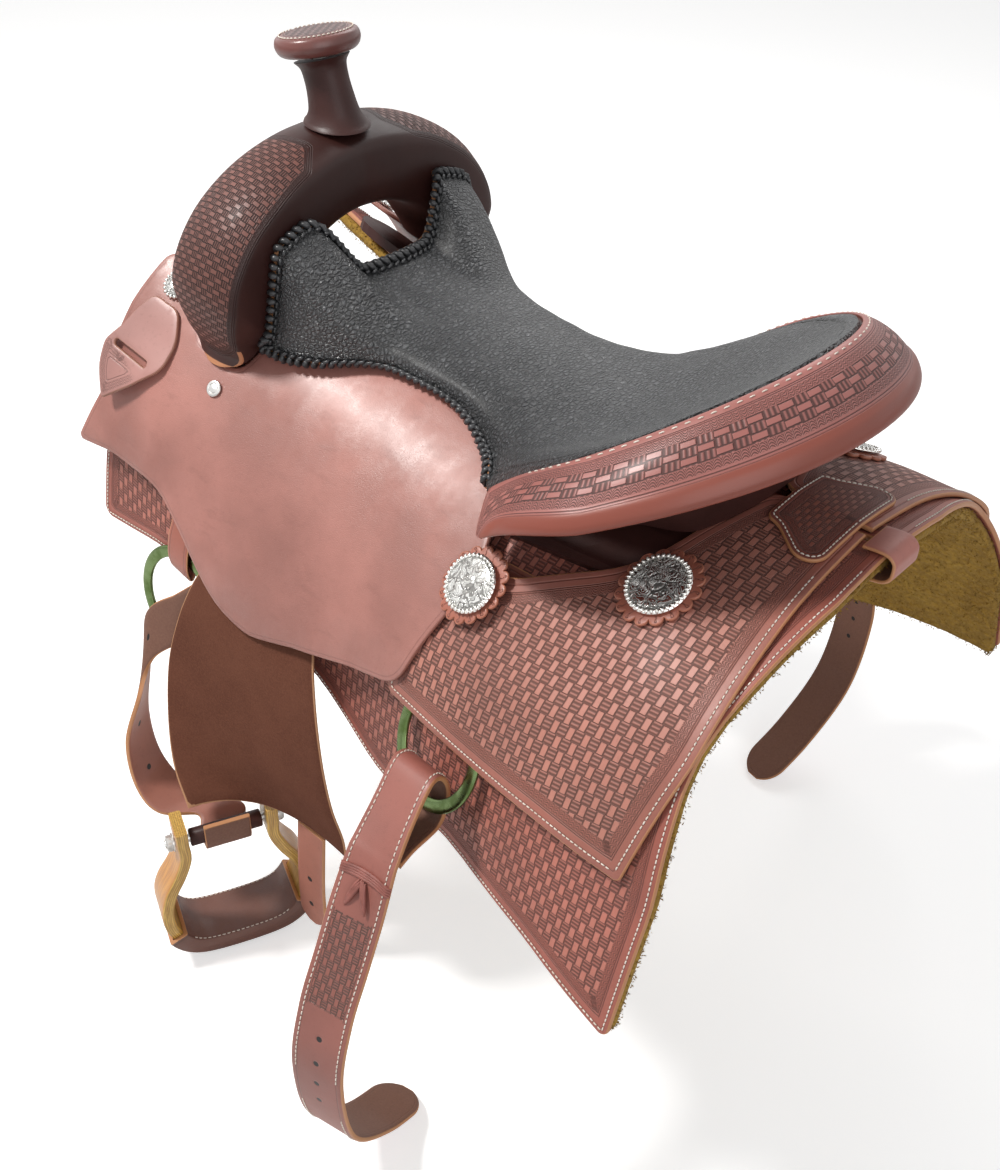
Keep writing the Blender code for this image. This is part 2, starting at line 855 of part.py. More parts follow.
def make_concho(name, x, s, height, radius, side):
    place = frame_on_side(x, s, height, side)
    profile = ((radius * 0.96, 0), (radius, 1.0), (radius * 0.97, 2.4), (radius * 0.86, 3.0))
    profile += ((radius * 0.7, 3.6), (radius * 0.35, 4.6))
    points, faces = turned(profile, place, 20)
    add_object(name, points, faces, "silver")


# Rosettes with a concho on top: x, s, rosette radius, concho radius and its clearance
REAR_CONCHO = (-286, 122, 35, 26, 4.6)
CANTLE_CONCHO = (-148, 177, 31, 25, 6.4)
FRONT_CONCHO = (268, 128, 13)
FERRULE_AT = (180, 172)
ROSETTE_LOBES = 16
ROSETTE_THICK = 3.0


def make_rosette(name, concho, over, side, tag):
    x, s, rosette_radius, radius, clear = concho
    leather(
        name + "_rosette_" + tag,
        scalloped(x, s, rosette_radius, ROSETTE_LOBES),
        lambda a, b: over(a, b) + GAP,
        lambda a, b: over(a, b) + GAP + ROSETTE_THICK,
        "russet_leather",
        side,
    )
    make_concho(name + "_concho_" + tag, x, s, over(x, s) + clear, radius, side)


def make_conchos():
    for side, tag in SIDES:
        make_rosette("rear", REAR_CONCHO, over_rear_jockey, side, tag)
        make_rosette("cantle", CANTLE_CONCHO, over_seat_jockey, side, tag)
        x, s, radius = FRONT_CONCHO
        make_concho("front_concho_" + tag, x, s, over_seat_jockey(x, s) + 0.8, radius, side)
        x, s = FERRULE_AT
        place = frame_on_side(x, s, over_seat_jockey(x, s) + 0.8, side)
        ferrule = ((7.2, 0), (7.6, 1), (6.8, 2.2), (2.6, 2.4))
        add_object("ferrule_screw_" + tag, *turned(ferrule, place, 14), "steel")


# Rigging


CURVE_PIECES = 12


def curve_through(points, count):
    """Evenly spaced points of a smooth run through the given ones, each with its place in them."""
    runs = [Vector(p) for p in points]
    runs = [runs[0] * 2 - runs[1]] + runs + [runs[-1] * 2 - runs[-2]]
    fine = []
    for i in range(1, len(runs) - 2):
        a, b, c, d = runs[i - 1 : i + 3]
        for k in range(CURVE_PIECES):
            t = k / CURVE_PIECES
            bend = (a * -1 + b * 3 - c * 3 + d) * t**3 + (a * 2 - b * 5 + c * 4 - d) * t**2
            fine.append((bend + (c - a) * t + b * 2) / 2)
    fine.append(runs[-2])
    lengths = [0.0]
    for a, b in zip(fine, fine[1:]):
        lengths.append(lengths[-1] + (b - a).length)
    out = []
    for k in range(count):
        goal = lengths[-1] * k / (count - 1)
        i = min(max(j for j in range(len(fine)) if lengths[j] <= goal + 1e-9), len(fine) - 2)
        t = (goal - lengths[i]) / (lengths[i + 1] - lengths[i])
        out.append((fine[i].lerp(fine[i + 1], t), (i + t) / CURVE_PIECES))
    return out


def run_through(points, count):
    return [point for point, _ in curve_through(points, count)]


def strap_points(path, widths, across, thickness):
    """Rows of a strap along path; across gives its width direction there, and side its face."""
    layers = []
    for k, here in enumerate(path):
        along = path[min(k + 1, len(path) - 1)] - path[max(k - 1, 0)]
        wide = across(k).normalized()
        face = wide.cross(along).normalized() * thickness / 2
        half = widths(k) / 2
        top = [here - wide * half + face, here + wide * half + face]
        bottom = [here - wide * half - face, here + wide * half - face]
        layers.append((top, bottom))
    return layers


def rig_loop(x, rows, half, count):
    """Strap over the horse's side: rows (s, height) round the ring's band, half its width."""
    path = run_through([(0, s, h) for s, h in rows], count)
    layers = []
    for k, here in enumerate(path):
        along = path[min(k + 1, count - 1)] - path[max(k - 1, 0)]
        face = Vector((0, -along.z, along.y)).normalized() * RIG_THICK / 2
        reach = half(k / (count - 1))
        top, bottom = here + face, here - face
        ends = (x + reach[0], x + reach[1])
        upper = [drape(e, top.y, top.z) for e in ends]
        layers.append((upper, [drape(e, bottom.y, bottom.z) for e in ends]))
    return layers


def ring_place(ring, side):
    x, s, height, tilt = ring
    place = frame_on_side(x, s, height, NEAR) @ Matrix.Rotation(radians(tilt), 4, "X")
    if side == OFF:
        flip = Matrix.Diagonal((1, -1, 1, 1))
        place = flip @ place @ flip
    return place


def make_rigging():
    reach = RING_RADIUS - RING_BAND
    for side, tag in SIDES:
        for name, ring in (("front", FRONT_RING), ("rear", REAR_RING)):
            place = ring_place(ring, side)
            points, faces = band_ring(RING_RADIUS, RING_BAND, RING_THICK, place)
            add_object(name + "_ring_" + tag, points, faces, "ring_metal", place.translation)
        top_s = FRONT_RING[1] - reach
        rows = ((160, 2.0), (240, 2.0), (top_s - 22, 2.0), (top_s, 2.2), (top_s + 13.0, 7.8))
        rows += ((top_s, 13.4), (top_s - 22, 13.2), (top_s - 44, 7.5))
        layers = rig_loop(
            FRONT_RING[0],
            rows,
            lambda t: (-14 - 6 * ramp(t, 0.5, 0.2), 14 + 50 * ramp(t, 0.56, 0.4)),
            22,
        )
        layers = [(mirrored(a, side), mirrored(b, side)) for a, b in layers]
        add_object("front_rigging_" + tag, *slab(layers), "russet_leather")
        top_s = REAR_RING[1] - reach
        rows = ((150, 1.9), (200, 1.9), (top_s - 18, 1.7), (top_s, 1.6), (top_s + 14.0, 7.0))
        rows += ((top_s, 13.2), (top_s - 18, 13.0), (top_s - 42, 7.5))
        layers = rig_loop(REAR_RING[0], rows, lambda t: (-17, 12), 20)
        layers = [(mirrored(a, side), mirrored(b, side)) for a, b in layers]
        add_object("rear_rigging_" + tag, *slab(layers), "russet_leather")


BILLET_PATH = (
    (61, -2),
    (42, -5),
    (24, -9.5),
    (11, -12.5),
    (3, -13),
    (-4, -9.5),
    (-8.6, -1),
    (-12, 8),
    (-12, 20),
    (-6, 34),
    (4, 44),
    (16, 45),
    (38, 28),
    (64, 6),
    (76, -8),
    (115, -73),
    (142, -119),
    (158, -181),
    (146, -273),
    (97, -337),
    (35, -380),
)


def make_billets():
    """Flank billets folded round the rear rings, standing out and curling in at their ends."""
    wide = Vector((0.98, 0.21, 0)).normalized()
    out = Vector((-wide.y, wide.x, 0))
    place = ring_place(REAR_RING, NEAR)
    band = place @ Vector((0, RING_RADIUS - RING_BAND / 2, 0))
    count = 34
    flat = run_through([(a, b, 0) for a, b in BILLET_PATH], count)
    path = [band + out * p.x + Vector((0, 0, p.y)) for p in flat]
    on_ring = (place.to_3x3() @ Vector((1, 0, 0))).normalized()
    layers = strap_points(
        path,
        lambda k: BILLET_WIDTH - 26 * ramp(k, count - 3, count - 1),
        lambda k: on_ring.lerp(wide, ramp((path[k] - band).length, 25, 110)),
        STRAP_THICK,
    )
    for side, tag in SIDES:
        rows = [(mirrored(a, side), mirrored(b, side)) for a, b in layers]
        origin = Vector((band.x, band.y * side, band.z))
        add_object("flank_billet_" + tag, *slab(rows), "russet_leather", origin)


KEEPER = (
    (292, 166, 16),
    (282, 146, 12),
    (250, 143, 14),
    (236, 164, 30),
    (236, 190, 24),
    (262, 219, 60),
    (291, 246, 3),
    (304, 222, 30),
    (308, 203, 14),
    (298, 184, 20),
)
KEEPER_SLOT = ((294, 198), (256, 195))
KEEPER_SLOT_WIDTH = 5.0
KEEPER_THICK = 3.6


def keeper_lower(x, s):
    return over_seat_jockey(x, s) + GAP + 8 * ramp(s, 165, 235)


def make_keeper():
    """Slotted latigo keeper under the near front concho, standing off the jockey at its lower edge."""
    keeper = leather(
        "latigo_keeper",
        rounded(KEEPER),
        keeper_lower,
        lambda x, s: keeper_lower(x, s) + KEEPER_THICK,
        "russet_leather",
    )
    start, end = (drape(x, s, 30) for x, s in KEEPER_SLOT)
    middle = [sum(values) / 2 for values in zip(*KEEPER_SLOT)]
    place = frame_on_side(*middle, 30, NEAR)
    turn = place.inverted() @ end - place.inverted() @ start
    spin = place @ Matrix.Rotation(atan2(turn.y, turn.x), 4, "Z")
    a, b = (end - start).length / 2, KEEPER_SLOT_WIDTH / 2
    corners = [(a, b), (-a, b), (-a, -b), (a, -b)]
    rings = [[spin @ Vector((*corner, h)) for corner in corners] for h in (-30, 30)]
    cutter = add_object("keeper_slot", *loft(rings), "steel")
    cutter.hide_render = True
    cutter.display_type = "WIRE"
    cut_with(keeper, cutter)


# Fenders and stirrups


PIVOT_X, PIVOT_S = 111.0, 150.0
FENDER_TOP = ((160, 9, 76, 146), (195, 9, 74, 148), (228, 11, 62, 146), (254, 14, 30, 144))
FENDER_ROWS = (
    ((143, 218, -134), (70, 216, -140), (4, 214, -146)),
    ((156, 231, -168), (74, 229, -173), (-10, 228, -178)),
    ((167, 243, -206), (78, 240, -213), (-22, 238, -220)),
    ((175, 256, -258), (84, 249, -264), (-31, 242, -272)),
    ((166, 272, -314), (86, 254, -316), (-38, 241, -318)),
    ((142, 288, -354), (76, 250, -357), (-44, 236, -356)),
    ((108, 299, -380), (62, 242, -389), (-42, 232, -388)),
)


def fender_rows():
    """Rows of the fender's outer face, each from its front edge over the fold to its rear edge."""
    rows = []
    steps = spread(0, 1, 6)
    for s, height, rear, front in FENDER_TOP:
        rows.append([drape(front + (rear - front) * t, s, height) for t in steps])
    for points in FENDER_ROWS:
        front, fold, rear = (Vector(p) for p in points)
        row = []
        for t in steps:
            ends = front * (1 - t) * (1 - 2 * t) + rear * t * (2 * t - 1)
            row.append(ends + fold * 4 * t * (1 - t))
        rows.append(row)
    return rows


def make_fenders():
    rows = fender_rows()
    points, faces = sheet(rows, FENDER_THICK, lambda p: Vector((0, 1, 0.3)))
    for side, tag in SIDES:
        pivot = drape(PIVOT_X, PIVOT_S, 9)
        origin = (pivot.x, pivot.y * side, pivot.z)
        add_object("fender_" + tag, mirrored(points, side), faces, "rough_leather", origin)


def stirrup_axes():
    a = radians(STIRRUP_TURN)
    return Vector((cos(a), sin(a), 0)), Vector((sin(a), -cos(a), 0))


def stirrup_place(u, f, z):
    across, ahead = stirrup_axes()
    return Vector(BOLT_CENTRE) + across * u + ahead * f + Vector((0, 0, z))


LEATHER_RUN = (
    ((112, 213, -150), (-1, 0, 0)),
    ((136, 223, -178), (-0.9, 0.0, -0.4)),
    ((165, 231, -208), (-0.74, -0.04, -0.62)),
    ((203, 253, -244), (-0.42, 0.28, -0.85)),
    ((200, 272, -292), (-0.55, 0.75, -0.35)),
    ((202, 286, -345), (-0.45, 0.88, -0.1)),
    ((184, 292, -390), (-0.3, 0.93, 0)),
    ((150, 286, -414), (0.1, 0.99, 0)),
)


# The leather's way round the roller: ahead and up, in roller radii
ROUND_ROLLER = ((1.9, 0.1), (0.9, -0.44), (0.5, -0.9), (-0.1, -1), (-0.7, -0.74))
ROUND_ROLLER += ((-1, -0.15), (-1.03, 0.6), (-1.03, 1.8))


def make_stirrup_leathers():
    """Straps that come out in front of the fender and go round the stirrup's roller."""
    across, _ = stirrup_axes()
    roll = ROLLER_RADIUS + 2.2 + STRAP_THICK / 2
    points = [p for p, _ in LEATHER_RUN]
    wide = [Vector(w) for _, w in LEATHER_RUN]
    for ahead, up in ROUND_ROLLER:
        points.append(stirrup_place(0, ahead * roll, up * roll))
        wide.append(across)
    layers = []
    path = curve_through(points, 38)
    for k, (here, place) in enumerate(path):
        i = min(floor(place), len(wide) - 2)
        width = wide[i].lerp(wide[i + 1], place - i)
        layers.append((here, width))
    rows = strap_points(
        [p for p, _ in layers], lambda k: LEATHER_WIDTH, lambda k: layers[k][1], STRAP_THICK
    )
    tail = [(13, 226, -396), (13, 229, -430), (14, 231, -470), (15, 231, -505), (16, 231, -536)]
    tail_rows = strap_points(
        run_through(tail, 9),
        lambda k: 38 - 18 * ramp(k, 6.5, 8),
        lambda k: Vector((1, 0, 0)),
        STRAP_THICK,
    )
    for side, tag in SIDES:
        for name, strap in (("stirrup_leather_", rows), ("stirrup_strap_end_", tail_rows)):
            both = [(mirrored(a, side), mirrored(b, side)) for a, b in strap]
            add_object(name + tag, *slab(both), "russet_leather")


def bow_section(path, k):
    """Middle, direction across the wood and depth of the bow at a point of its path."""
    before, after = path[max(k - 1, 0)], path[min(k + 1, len(path) - 1)]
    run = Vector((after[0] - before[0], after[1] - before[1])).normalized()
    z = path[k][1]
    depth = BOW_TOP_DEPTH + (STIRRUP_DEPTH - BOW_TOP_DEPTH) * ramp(z, -20, -120)
    return path[k], Vector((-run.y, run.x)), depth


# Rounded corners of the bow's section: shares of its depth and of half its thickness
BOW_CORNERS = ((-0.5, -0.8), (-0.4, -1), (0.4, -1), (0.5, -0.8))
BOW_CORNERS += ((0.5, 0.8), (0.4, 1), (-0.4, 1), (-0.5, 0.8))


def make_stirrups():
    across, ahead = stirrup_axes()
    path = list(BOW_PATH) + [(-u, z) for u, z in reversed(BOW_PATH)]
    rings = []
    for k in range(len(path)):
        (u, z), way, depth = bow_section(path, k)
        way = way * BOW_THICK / 2
        rings.append([stirrup_place(u + way.x * w, f * depth, z + way.y * w) for f, w in BOW_CORNERS])
    bow_points, bow_faces = loft(rings)
    bolt_frame = frame(BOLT_CENTRE, across, ahead)
    hole = ((BOLT_RADIUS + 0.4, -60), (BOLT_RADIUS + 0.4, 60))
    hole_points, hole_faces = turned(hole, bolt_frame, 12)
    head, end, roller = BOLT_HEAD_AT, BOLT_HEAD_AT + BOLT_HEAD, ROLLER_HALF
    bolt = ((5.5, -end), (8, 0.5 - end), (8, -head), (BOLT_RADIUS, -head), (BOLT_RADIUS, -roller))
    bolt += ((ROLLER_RADIUS, -roller), (ROLLER_RADIUS, roller), (BOLT_RADIUS, roller))
    bolt += ((BOLT_RADIUS, head), (8, head), (8, end - 0.5), (5.5, end))
    bolt_points, bolt_faces = turned(bolt, bolt_frame, 12)
    for side, tag in SIDES:
        axis = mirror_point(BOLT_CENTRE, side)
        points = mirrored(bow_points, side)
        bow = add_object("stirrup_bow_" + tag, points, bow_faces, "wood", axis)
        cutter = add_object("bolt_hole_" + tag, mirrored(hole_points, side), hole_faces, "steel")
        cutter.hide_render = True
        cutter.display_type = "WIRE"
        cut_with(bow, cutter)
        points = mirrored(bolt_points, side)
        add_object("stirrup_bolt_" + tag, points, bolt_faces, "steel", axis)
        make_tread(side, tag, path)


def mirror_point(point, side):
    return (point[0], point[1] * side, point[2])


def make_tread(side, tag, path):
    """Leather sleeve round the stirrup's tread."""
    shells = []
    for grow in (TREAD_COVER, TREAD_GAP):
        rings = []
        for k in range(len(path)):
            (u, z), way, depth = bow_section(path, k)
            if z > TREAD_FROM_Z:
                continue
            half = BOW_THICK / 2 + grow
            ring = []
            for f, w in ((-1, -1), (1, -1), (1, 1), (-1, 1)):
                reach = f * (depth / 2 + grow)
                ring.append(stirrup_place(u + way.x * w * half, reach, z + way.y * w * half))
            rings.append(ring)
        shells.append(rings)
    outer, inner = shells
    points = [p for ring in outer + inner for p in ring]
    faces = tube_faces(len(outer), 4)
    name = "stirrup_tread_" + tag
    add_object(name, mirrored(points, side), faces, "russet_leather", mirror_point(BOLT_CENTRE, side))


def main():
    clear_scene()
    make_skirts()
    make_bars()
    make_seat()
    make_ground_seat()
    make_cantle_board()
    make_cantle_roll()
    make_cantle_back()
    make_swell()
    make_horn()
    make_rear_connector()
    make_skirt_tie()
    make_conchos()
    make_rigging()
    make_billets()
    make_keeper()
    make_fenders()
    make_stirrup_leathers()
    make_stirrups()


main()
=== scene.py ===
"""Reining saddle dressed for its photograph: tooled leather, wool, lacing, metal and wood.

Lengths are millimetres until a mesh is made. X points to the horse's head, Y to its near side
and Z up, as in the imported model.
"""

from math import atan2, ceil, cos, hypot, pi, radians, sin, tan

import bmesh
import bpy
import numpy as np
from mathutils import Matrix, Vector, noise
from mathutils.geometry import delaunay_2d_cdt


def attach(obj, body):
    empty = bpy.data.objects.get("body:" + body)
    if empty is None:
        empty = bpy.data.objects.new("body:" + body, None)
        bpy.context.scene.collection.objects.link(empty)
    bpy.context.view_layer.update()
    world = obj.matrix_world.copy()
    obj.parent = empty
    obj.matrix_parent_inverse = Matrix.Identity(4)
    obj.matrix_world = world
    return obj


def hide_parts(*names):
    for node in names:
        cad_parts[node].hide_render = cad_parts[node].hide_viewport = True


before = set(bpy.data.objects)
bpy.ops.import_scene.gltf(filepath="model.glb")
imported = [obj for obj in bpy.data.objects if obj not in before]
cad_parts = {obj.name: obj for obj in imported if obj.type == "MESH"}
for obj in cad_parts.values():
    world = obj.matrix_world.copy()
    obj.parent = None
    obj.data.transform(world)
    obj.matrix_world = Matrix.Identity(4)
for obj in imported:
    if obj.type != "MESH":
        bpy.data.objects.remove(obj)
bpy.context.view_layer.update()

MM = 0.001
NEAR, OFF = 1, -1
SIDES = ((NEAR, "L"), (OFF, "R"))
TAU = 2 * pi

# Leather, lining and gaps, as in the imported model
GAP = 0.6
SKIRT_THICK = 5.0
FLEECE_THICK = 12.0
FLEECE_GAP = 1.0
JOCKEY_THICK = 4.2
FENDER_THICK = 4.5
STRAP_THICK = 4.5
SEAT_THICK = 8.0
RIG_THICK = 2.4
THIN_LEATHER = 3.6
ROSETTE_THICK = 3

# Stitch lines from the cut edge, and the seat's fold from the cantle's rim
SKIRT_STITCH, JOCKEY_STITCH, CONNECTOR_STITCH, BILLET_STITCH = 4.5, 6.0, 3.6, 5.0
FOLD_AT = 12.0


# The horse's side, worked out once on a fine grid and read between its points

GRID_X, GRID_S = 10.0, 3.0
SIDE_X = np.arange(-450.0, 381.0, GRID_X)
SIDE_S = np.arange(0.0, 601.0, GRID_S)
SPINE_HEIGHT, SPINE_LEAN, SPINE_BEND = 45, 0.111, 3.4e-4
# Slopes in degrees at distances down the side, for the rear, the middle and the front
SLOPE_REAR_X, SLOPE_FRONT_X = -400.0, 310.0
ROUND_BODY = (0, 60, 112, 198, 258, 314, 388, 480, 560)
SLOPE_REAR = (3, 10, 22, 38, 56, 67, 71, 72, 72)
SLOPE_MIDDLE = (10, 22, 35, 58, 72, 80, 83, 84, 84)
SLOPE_FRONT = (18, 26, 34, 58, 70, 78, 82, 84, 84)


def ramp(value, start, end):
    """0 at start, 1 at end, with a smooth run between; takes numbers and arrays."""
    t = np.clip((value - start) / (end - start), 0.0, 1.0)
    return t * t * (3 - 2 * t)


def side_tables():
    """Y and Z of the skirt's upper face over SIDE_X and SIDE_S, with its outward direction."""
    rear, middle, front = (
        np.interp(SIDE_S, ROUND_BODY, slopes)[None, :]
        for slopes in (SLOPE_REAR, SLOPE_MIDDLE, SLOPE_FRONT)
    )
    x = SIDE_X[:, None]
    back = ramp(x, 0.0, SLOPE_REAR_X)
    ahead = np.clip(x / SLOPE_FRONT_X, 0.0, 1.2)
    slope = np.radians(middle + (rear - middle) * back + (front - middle) * ahead)
    halves = (slope[:, 1:] + slope[:, :-1]) / 2
    start = np.zeros((len(SIDE_X), 1))
    y = np.concatenate((start, np.cumsum(np.cos(halves), 1) * GRID_S), 1)
    fall = np.concatenate((start, np.cumsum(np.sin(halves), 1) * GRID_S), 1)
    z = SPINE_HEIGHT + SPINE_LEAN * x + SPINE_BEND * x * x - fall
    return np.stack((y, z, np.sin(slope), np.cos(slope)))


SIDE = side_tables()


def read_side(x, s):
    u = np.clip((x - SIDE_X[0]) / GRID_X, 0, len(SIDE_X) - 1.001)
    v = np.clip(np.abs(s) / GRID_S, 0, len(SIDE_S) - 1.001)
    i, j = u.astype(int), v.astype(int)
    u, v = u - i, v - j
    near = SIDE[:, i, j] * (1 - u) * (1 - v) + SIDE[:, i + 1, j] * u * (1 - v)
    return near + SIDE[:, i, j + 1] * (1 - u) * v + SIDE[:, i + 1, j + 1] * u * v


def drape(x, s, height=0.0):
    """Points at a height over the horse's side, for numbers or arrays."""
    x, s, height = np.broadcast_arrays(*(np.asarray(a, float) for a in (x, s, height)))
    y, z, out_y, out_z = read_side(x, s)
    y = (y + out_y * height) * np.where(s < 0, -1.0, 1.0)
    return np.stack((x, y, z + out_z * height), -1)


def outward(x, s):
    """Direction out of the horse's side."""
    x, s = np.broadcast_arrays(np.asarray(x, float), np.asarray(s, float))
    _, _, out_y, out_z = read_side(x, s)
    return np.stack((out_y * 0, out_y * np.where(s < 0, -1.0, 1.0), out_z), -1)


def unit(vectors):
    vectors = np.asarray(vectors, float)
    return vectors / np.maximum(np.linalg.norm(vectors, axis=-1, keepdims=True), 1e-9)


def under_rear_jockey(x, s):
    """Height of the lower face: low at the tail, raised over the rear rigging."""
    s = np.abs(s)
    return GAP + 9.5 * ramp(x, -390, -300) + 5.8 * ramp(s, 190, 240) * ramp(x, -320, -250)


def over_rear_jockey(x, s):
    return under_rear_jockey(x, s) + JOCKEY_THICK


def under_seat_jockey(x, s):
    """Height of the lower face, raised over the front rigging and the stirrup leather."""
    s = np.abs(s)
    over_straps = 5.5 * ramp(s, 160, 240) * ramp(x, 280, 220)
    return 15.0 + over_straps + 6.0 * ramp(s, 240, 310) * ramp(x, -60, 10) * ramp(x, 240, 170)


def over_seat_jockey(x, s):
    return under_seat_jockey(x, s) + JOCKEY_THICK


# Curves and outlines


def glide(value, at, values):
    """Smooth reading between stations: a cubic through them with the neighbours' slopes."""
    at, values = np.asarray(at, float), np.asarray(values, float)
    slopes = np.gradient(values, at)
    value = np.clip(value, at[0], at[-1])
    i = np.clip(np.searchsorted(at, value, side="right") - 1, 0, len(at) - 2)
    wide = at[i + 1] - at[i]
    t = (value - at[i]) / wide
    a, b = values[i], values[i + 1]
    lean_a, lean_b = slopes[i] * wide, slopes[i + 1] * wide
    return (
        a * (1 + 2 * t) * (1 - t) ** 2
        + b * (3 - 2 * t) * t * t
        + lean_a * t * (1 - t) ** 2
        - lean_b * t * t * (1 - t)
    )


def run_through(points, count, closed=False):
    """Evenly spaced points of a smooth run through the given ones."""
    points = np.asarray(points, float)
    if closed:
        whole = np.concatenate((points[-1:], points, points[:2]))
    else:
        whole = np.concatenate((2 * points[:1] - points[1:2], points, 2 * points[-1:] - points[-2:-1]))
    fine = []
    for a, b, c, d in zip(whole, whole[1:], whole[2:], whole[3:]):
        t = np.linspace(0, 1, 24, endpoint=False)[:, None]
        bend = (3 * b - a - 3 * c + d) * t**3 + (2 * a - 5 * b + 4 * c - d) * t**2
        fine.append((bend + (c - a) * t + 2 * b) / 2)
    fine = np.concatenate(fine + [whole[-2:-1]])
    return evenly(fine, count, closed)


def lengths(points):
    steps = np.linalg.norm(np.diff(points, axis=0), axis=1)
    return np.concatenate(([0.0], np.cumsum(steps)))


def read_along(line, at, goals):
    """Points of a line at given distances along it; at holds the distance of each of its own."""
    return np.stack([np.interp(goals, at, line[:, k]) for k in range(line.shape[1])], -1)


def evenly(points, count, closed=False):
    """The same line with count evenly spaced points; a closed one ends short of its start."""
    at = lengths(points)
    goals = np.linspace(0, at[-1], count + 1)[:-1] if closed else np.linspace(0, at[-1], count)
    return read_along(points, at, goals)


ARC_STEP = 9.0


def rounded(corners):
    """Outline through corners (x, s, radius), each rounded by an arc of its radius."""
    outline = []
    for i, (x, s, radius) in enumerate(corners):
        here = Vector((x, s))
        before = Vector(corners[i - 1][:2]) - here
        after = Vector(corners[(i + 1) % len(corners)][:2]) - here
        turn = pi - before.angle(after)
        reach = min(radius * tan(turn / 2), 0.49 * min(before.length, after.length))
        if reach < 0.5:
            outline.append((here.x, here.y))
            continue
        radius = reach / tan(turn / 2)
        start = here + before.normalized() * reach
        middle = (before.normalized() + after.normalized()).normalized()
        centre = here + middle * hypot(radius, reach)
        end = here + after.normalized() * reach
        first = start - centre
        swing = first.angle_signed(end - centre)
        pieces = max(2, ceil(turn / radians(ARC_STEP)))
        for k in range(pieces + 1):
            a = -swing * k / pieces
            outline.append((centre.x + first.x * cos(a) - first.y * sin(a),
                            centre.y + first.x * sin(a) + first.y * cos(a)))
    return np.array(outline)


def counter_clockwise(ring):
    area = np.sum(ring[:, 0] * np.roll(ring[:, 1], -1) - ring[:, 1] * np.roll(ring[:, 0], -1))
    return ring if area > 0 else ring[::-1]


def dense(outline, pitch):
    """A closed outline with points every pitch or closer, run counter-clockwise."""
    outline = counter_clockwise(np.asarray(outline, float))
    out = []
    for a, b in zip(outline, np.roll(outline, -1, axis=0)):
        count = max(1, round(np.linalg.norm(b - a) / pitch))
        if np.linalg.norm(b - a) < 0.05:
            continue
        out += [a + (b - a) * k / count for k in range(count)]
    return np.array(out)


def inset(ring, by):
    """Each point of a counter-clockwise ring moved in by a distance."""
    along = unit(np.roll(ring, -1, axis=0) - np.roll(ring, 1, axis=0))
    return ring + np.stack((-along[:, 1], along[:, 0]), -1) * by


def to_line(points, ring):
    """Distance of each point to a closed line, and how far round it the nearest point is."""
    at_once = 2000
    way = np.roll(ring, -1, axis=0) - ring
    size = np.maximum(np.sum(way * way, 1), 1e-12)
    run = np.concatenate(([0.0], np.cumsum(np.sqrt(size))))[:-1]
    far, along = np.zeros(len(points)), np.zeros(len(points))
    for first in range(0, len(points), at_once):
        part = slice(first, first + at_once)
        off = points[part][:, None, :] - ring[None]
        t = np.clip(np.sum(off * way[None], 2) / size, 0, 1)
        gap = np.linalg.norm(off - way[None] * t[..., None], axis=2)
        best = gap.argmin(1)
        rows = np.arange(len(best))
        far[part] = gap[rows, best]
        along[part] = run[best] + t[rows, best] * np.sqrt(size[best])
    return far, along


def inside(points, ring):
    """Which points lie inside a closed ring."""
    x, y = points[:, 0], points[:, 1]
    hit = np.zeros(len(points), bool)
    for (ax, ay), (bx, by) in zip(ring, np.roll(ring, -1, axis=0)):
        if ay != by:
            crosses = (ay > y) != (by > y)
            hit ^= crosses & (x < (bx - ax) * (y - ay) / (by - ay) + ax)
    return hit


def within(points, ring):
    """Distance to the ring, positive inside."""
    far = to_line(points, ring)[0]
    return np.where(inside(points, ring), far, -far)


# Pieces


def add_piece(name, points, faces, finish, body, replaces=(), marks=None, sharp=38):
    """A closed mesh of points in millimetres; marks are values per point that finishes read."""
    mesh = bpy.data.meshes.new(name)
    mesh.from_pydata((np.asarray(points, float) * MM).tolist(), [], faces)
    edit = bmesh.new()
    edit.from_mesh(mesh)
    bmesh.ops.recalc_face_normals(edit, faces=edit.faces)
    edit.to_mesh(mesh)
    edit.free()
    for mark, values in (marks or {}).items():
        values = np.asarray(values, np.float32)
        if values.ndim == 1:
            mesh.attributes.new(mark, "FLOAT", "POINT").data.foreach_set("value", values)
        else:
            mesh.attributes.new(mark, "FLOAT_VECTOR", "POINT").data.foreach_set("vector", values.ravel())
    mesh.shade_smooth()
    mesh.set_sharp_from_angle(angle=radians(sharp))
    mesh.materials.append(finish)
    obj = bpy.data.objects.new(name, mesh)
    bpy.context.scene.collection.objects.link(obj)
    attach(obj, body)
    if replaces:
        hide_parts(*replaces)
    return obj


def flip_side(points, side):
    points = np.array(points, float)
    points[..., 1] *= side
    return points


def loft(rings, closed=False, caps=True):
    """Points and faces of a skin over rings of equal count."""
    rings = np.asarray(rings, float)
    rows, count = rings.shape[:2]
    last = rows if closed else rows - 1
    a = (np.arange(last)[:, None] * count + np.arange(count)).ravel()
    n = (np.arange(last)[:, None] * count + (np.arange(count) + 1) % count).ravel()
    faces = np.stack((a, n, (n + count) % (rows * count), (a + count) % (rows * count)), 1).tolist()
    if caps and not closed:
        faces.append(list(range(count)))
        faces.append(list(range((rows - 1) * count, rows * count)))
    return rings.reshape(-1, 3), faces


def joined(parts):
    """Points and faces of several (points, faces) pairs in one mesh."""
    points, faces, start = [], [], 0
    for some, polygons in parts:
        points.append(np.asarray(some, float))
        faces += [[k + start for k in polygon] for polygon in polygons]
        start += len(some)
    return np.concatenate(points), faces


